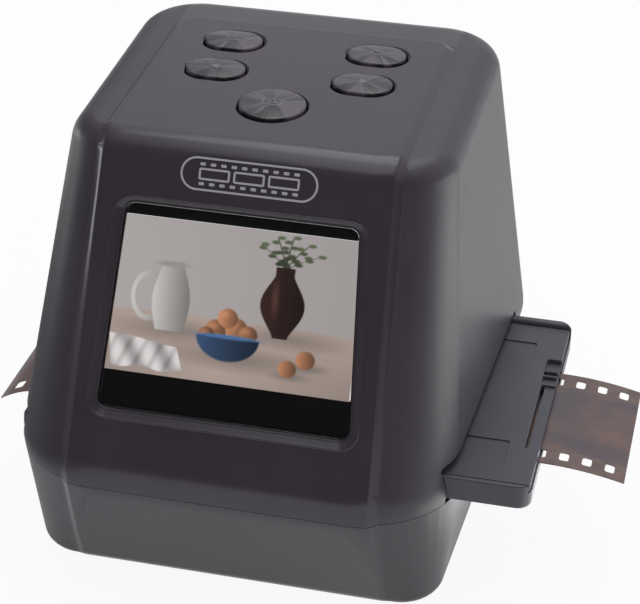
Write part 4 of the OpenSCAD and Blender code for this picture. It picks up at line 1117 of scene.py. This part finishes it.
film = {
    "length": 135.0, "width": 35.0, "thickness": 0.2, "centre": (12.0, filmY, 32.0),
    "perfPitch": 4.75, "perfCount": 28, "perfRow": 14.09, "perfLength": 2.8, "perfWidth": 1.98,
    "perfCorner": 0.5, "rightStart": 62.0, "rightDroop": 2.2, "leftStart": -46.0, "leftDroop": 3.2,
}


# A thin sheet, two rows of rounded perforations cut through it, and both free ends bent down
def filmStrip():
    g = GeometryTree("perforatedStrip", film)
    length, width, thickness, centre = [g.size(label) for label in ("length", "width", "thickness", "centre")]
    pitch, count, away, long, wide, corner = [g.size("perf" + label) for label in (
        "Pitch", "Count", "Row", "Length", "Width", "Corner")]
    sheet = g.add("MeshCube", {
        "Size": g.vector(length, width, thickness), "Vertices X": 133, "Vertices Y": 2, "Vertices Z": 2})
    outline = g.add("CurvePrimitiveQuadrilateral", {"Width": wide, "Height": long})
    rounded = g.add("FilletCurve", {"Curve": outline, "Count": 3, "Radius": corner}, mode="POLY")
    filled = g.add("FillCurve", {0: rounded}, mode="NGONS")
    walls = g.add("ExtrudeMesh", {"Mesh": filled, "Offset Scale": thickness * 4.0})
    flipped = g.add("FlipFaces", {0: filled})
    closed = g.add("MergeByDistance", {0: g.together((walls, flipped)), "Distance": 0.00001})
    punch = g.shifted(closed, g.vector(0.0, 0.0, thickness * -2.0))
    reach = (count - 1.0) * pitch * 0.5
    rows = []
    for y in (away * -1.0, away):
        rows.append(g.copies(g.line(count, g.vector(reach * -1.0, y), g.vector(reach, y)), punch))
    punches = g.add("RealizeInstances", {0: g.together(rows)})
    perforated = g.add("MeshBoolean", {"Mesh 1": sheet, "Mesh 2": punches},
                       operation="DIFFERENCE", solver="MANIFOLD")
    x, middle = [wire.parts()[0] for wire in (g.add("InputPosition"), centre)]
    drops = []
    for side, name in ((0.5, "right"), (-0.5, "left")):
        begin = g.size(name + "Start")
        share = ((x - begin) / (middle + length * side - begin)).clamped()
        drops.append(share * share * g.size(name + "Droop"))
    fall = g.vector(0.0, 0.0, (drops[0] + drops[1]) * -1.0)
    bent = g.add("SetPosition", {"Geometry": g.shifted(perforated, centre), "Offset": fall})
    thing = finishPiece(g.grow(bent, "film"), "filmStrip", "film", "film", ["film_strip"], crisp=40)
    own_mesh(thing)
    return thing


screws = {
    "seat": 18.0, "shaft": 1.3, "length": 20.0,
    # radius and height
    "head": ((2.6, 0), (2.6, -0.5), (2.418, -1.0), (1.95, -1.5), (1.04, -1.75), (0.3, -1.8)),
    "cross": ((1.5, -2.2), (1.35, -1.6), (0.5, -0.5)), "crossHalf": 0.28,
}


def caseScrews():
    s = screws
    shaft, length = s["shaft"], s["length"]
    head = turned(((shaft * 0.4, length), (shaft, length - 1.5), (shaft, 0), *s["head"]), steps=32)
    for turn in (0, 90):
        cut(head, loft([[(sx * w, sy * s["crossHalf"], z) for sx, sy in ((-1, -1), (1, -1), (1, 1), (-1, 1))]
                        for w, z in s["cross"]], rotated(turn, "Z")))
    thing = gridOf(head, "case", s["seat"], "screw_steel")
    return finishPiece(thing, "caseScrews", "housing", "screw_steel", ["case_screws"])


footProfile = ((4.95, 0.8), (5.0, 0.7), (5.0, -0.25), (4.9, -0.5), (4.6, -0.72), (4.2, -0.8),
               (3.2, -0.8), (3.05, -0.68), (2.9, -0.66), (0.3, -0.66))  # radius, height


def rubberFeet():
    thing = gridOf(turned(footProfile, steps=56), "feet", 0.0, "foot_rubber")
    return finishPiece(thing, "rubberFeet", "housing", "foot_rubber", ["rubber_feet"])


finishes = {
    "display": ["lcd_panel"],
    "sheet_steel": ["lcd_bracket", "card_slot", "usb_port", "tray_spring"],
    "screw_steel": [kind + "_screws" for kind in (
        "lcd", "main_board", "button_board", "optical_frame", "sensor", "deck")],
    "flex_cable": [kind + "_cable" for kind in ("lcd", "button", "sensor", "led")],
    "circuit_board": [kind + "_board" for kind in ("main", "button", "sensor", "led")],
    "chip": ["processor_chip", "memory_chips", "image_sensor", "switch_bases", "video_port"],
    "capacitor": ["board_capacitors"],
    "inner_plastic": ["optical_frame", "film_deck", "lens_barrel"],
    "lens_glass": ["front_lens", "rear_lens"],
    "diffuser": ["diffuser_plate"],
    "white_plastic": ["light_box"] + ["plunger_" + name for name in keys["places"]],
    "led": ["leds"],
}


def paintNodes():
    for finish, nodes in finishes.items():
        for node in nodes:
            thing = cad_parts[node]
            thing.data.materials.clear()
            thing.data.materials.append(materials[finish])


studio = {
    "floor": -0.0008, "reach": 6.0, "floorGlow": 0.92, "glossShare": 0.76,  # metres
    "yaw": 13.06, "pitch": 30.36, "roll": 0.73, "place": (0.09511, -0.3672, 0.27008), "focalLength": 114.03,
    "softboxes": {  # place, target, size, power
        "topBox": ((0.1, 0.5, 1.1), (0, 0, 0.05), (0.9, 0.7), 3.7),
        "overheadBox": ((0.0, -0.15, 1.0), (0, -0.1, 0.05), (0.5, 0.66), 1.02),
        "leftStrip": ((-0.475, 0.05, 0.03), (-0.03, -0.03, 0.07), (0.08, 0.1), 0.08),
        "leftGlint": ((-0.46, 0.19, 0.085), (-0.03, -0.02, 0.09), (0.06, 0.05), 0.13),
        "rightCard": ((0.21, 0.04, 0.036), (0.04, -0.03, 0.05), (0.16, 0.07), 0.085),
        "lowCard": ((0.064, -0.015, 0.0), (0.05, -0.02, 0.03), (0.08, 0.045), 0.021)},
}


def lightPath(tree):  # whether a ray comes from the camera, and whether from a gloss or through glass
    path = tree.nodes.new("ShaderNodeLightPath")
    camera, glossy, through = [Wire(tree, path.outputs[f"Is {kind} Ray"]) for kind in (
        "Camera", "Glossy", "Transmission")]
    return camera, (glossy + through).clamped()


def studioFloor():
    s = studio
    shape = bmesh.new()
    bmesh.ops.create_circle(shape, cap_ends=True, segments=96, radius=s["reach"])
    for v in shape.verts:
        v.co.z = s["floor"]
    floor = fromBmesh(shape, "studioFloor")
    material = bpy.data.materials.new("palePaper")
    material.use_nodes = True
    tree = material.node_tree
    tree.nodes.remove(tree.nodes["Principled BSDF"])
    camera, sharp = lightPath(tree)
    place = makeNode(tree, "ShaderNodeTexCoord", output=3)
    tint = place.noise(2.5, 2.0).blend((0.80, 0.80, 0.81, 1.0), (0.83, 0.83, 0.83, 1.0))
    x, y = place.parts()[:2]
    # reflections see a dimmer floor on the left
    shaded = sharp * (1.0 - x.between(-0.11, -0.055)) * (1.0 - y.between(0.09, 0.18)) * 0.8
    matt = place.make("BsdfDiffuse", {"Color": shaded.blend(tint, (0.02, 0.02, 0.02, 1.0))})
    glow = place.make("Emission", {"Color": (1, 1, 1, 1), "Strength": 1.0})
    lit = 0.06 + x.between(-0.1, -0.01) * 0.74 + x.between(-0.01, 0.05) * 0.2
    seen = (camera + (1.0 - camera) * sharp * lit * s["glossShare"]) * s["floorGlow"]
    mixed = seen.make("MixShader", {0: seen, 1: matt, 2: glow})
    tree.links.new(mixed.socket, tree.nodes["Material Output"].inputs[0])
    floor.data.materials.append(material)


def studioWorld():
    world = bpy.data.worlds.new("studioWorld")
    bpy.context.scene.world = world
    world.use_nodes = True
    tree = world.node_tree
    camera, sharp = lightPath(tree)
    x, y, z = makeNode(tree, "ShaderNodeTexCoord").parts()
    behind = (y + z * 0.35).between(-0.35, 0.45)  # dim room in front, pale wall behind
    left = 0.12 + x.between(-0.7, -0.25) * 0.88  # a dark wall on the left
    reflected = 0.05 + behind * left * 0.72
    soft = 0.62 + behind * 0.1
    level = camera + (1.0 - camera) * (sharp * reflected + (1.0 - sharp) * soft)
    tint = camera.blend((0.985, 0.975, 1.03, 1.0), (1.0, 1.0, 1.0, 1.0))  # faintly blue in reflections
    for socketName, wire in (("Strength", level), ("Color", tint)):
        tree.links.new(wire.socket, tree.nodes["Background"].inputs[socketName])


def softbox(name, place, target, size, power):
    light = bpy.data.lights.new(name, "AREA")
    light.shape = "RECTANGLE"
    light.size, light.size_y = size
    light.energy = power
    lamp = newObject(name, light)
    lamp.location = Vector(place)
    lamp.rotation_euler = (Vector(target) - Vector(place)).to_track_quat("-Z", "Y").to_euler()
    lamp.visible_camera = False


def studioCamera():
    s = studio
    yaw, pitch, roll = [math.radians(s[turn]) for turn in ("yaw", "pitch", "roll")]
    back = Vector((math.sin(yaw) * math.cos(pitch), -math.cos(yaw) * math.cos(pitch), math.sin(pitch)))
    right = Vector((0, 0, 1)).cross(back).normalized()
    up = back.cross(right)
    turnedRight = math.cos(roll) * right + math.sin(roll) * up
    turnedUp = -math.sin(roll) * right + math.cos(roll) * up
    data = bpy.data.cameras.new("studioCamera")
    data.sensor_width = 36.0
    data.lens = s["focalLength"]
    data.clip_start, data.clip_end = 0.02, 50.0
    camera = newObject("studioCamera", data)
    camera.matrix_world = moved(*s["place"]) @ Matrix((turnedRight, turnedUp, back)).transposed().to_4x4()
    bpy.context.scene.camera = camera


studioCamera()
studioFloor()
studioWorld()
for boxName, boxSizes in studio["softboxes"].items():
    softbox(boxName, *boxSizes)
print("studio made")
upperShell()
baseShell()
print("housing made")
windowPane()
displayPicture()
frontMark()
print("screen made")
for keyName in keys["places"]:
    makeKey(keyName)
    keySigns(keyName)
print("keys made")
trayBody()
trayLid()
filmStrip()
print("tray and film made")
caseScrews()
rubberFeet()
paintNodes()
print("screws, feet and inner parts made")

bpy.context.scene.view_settings.view_transform = "Standard"
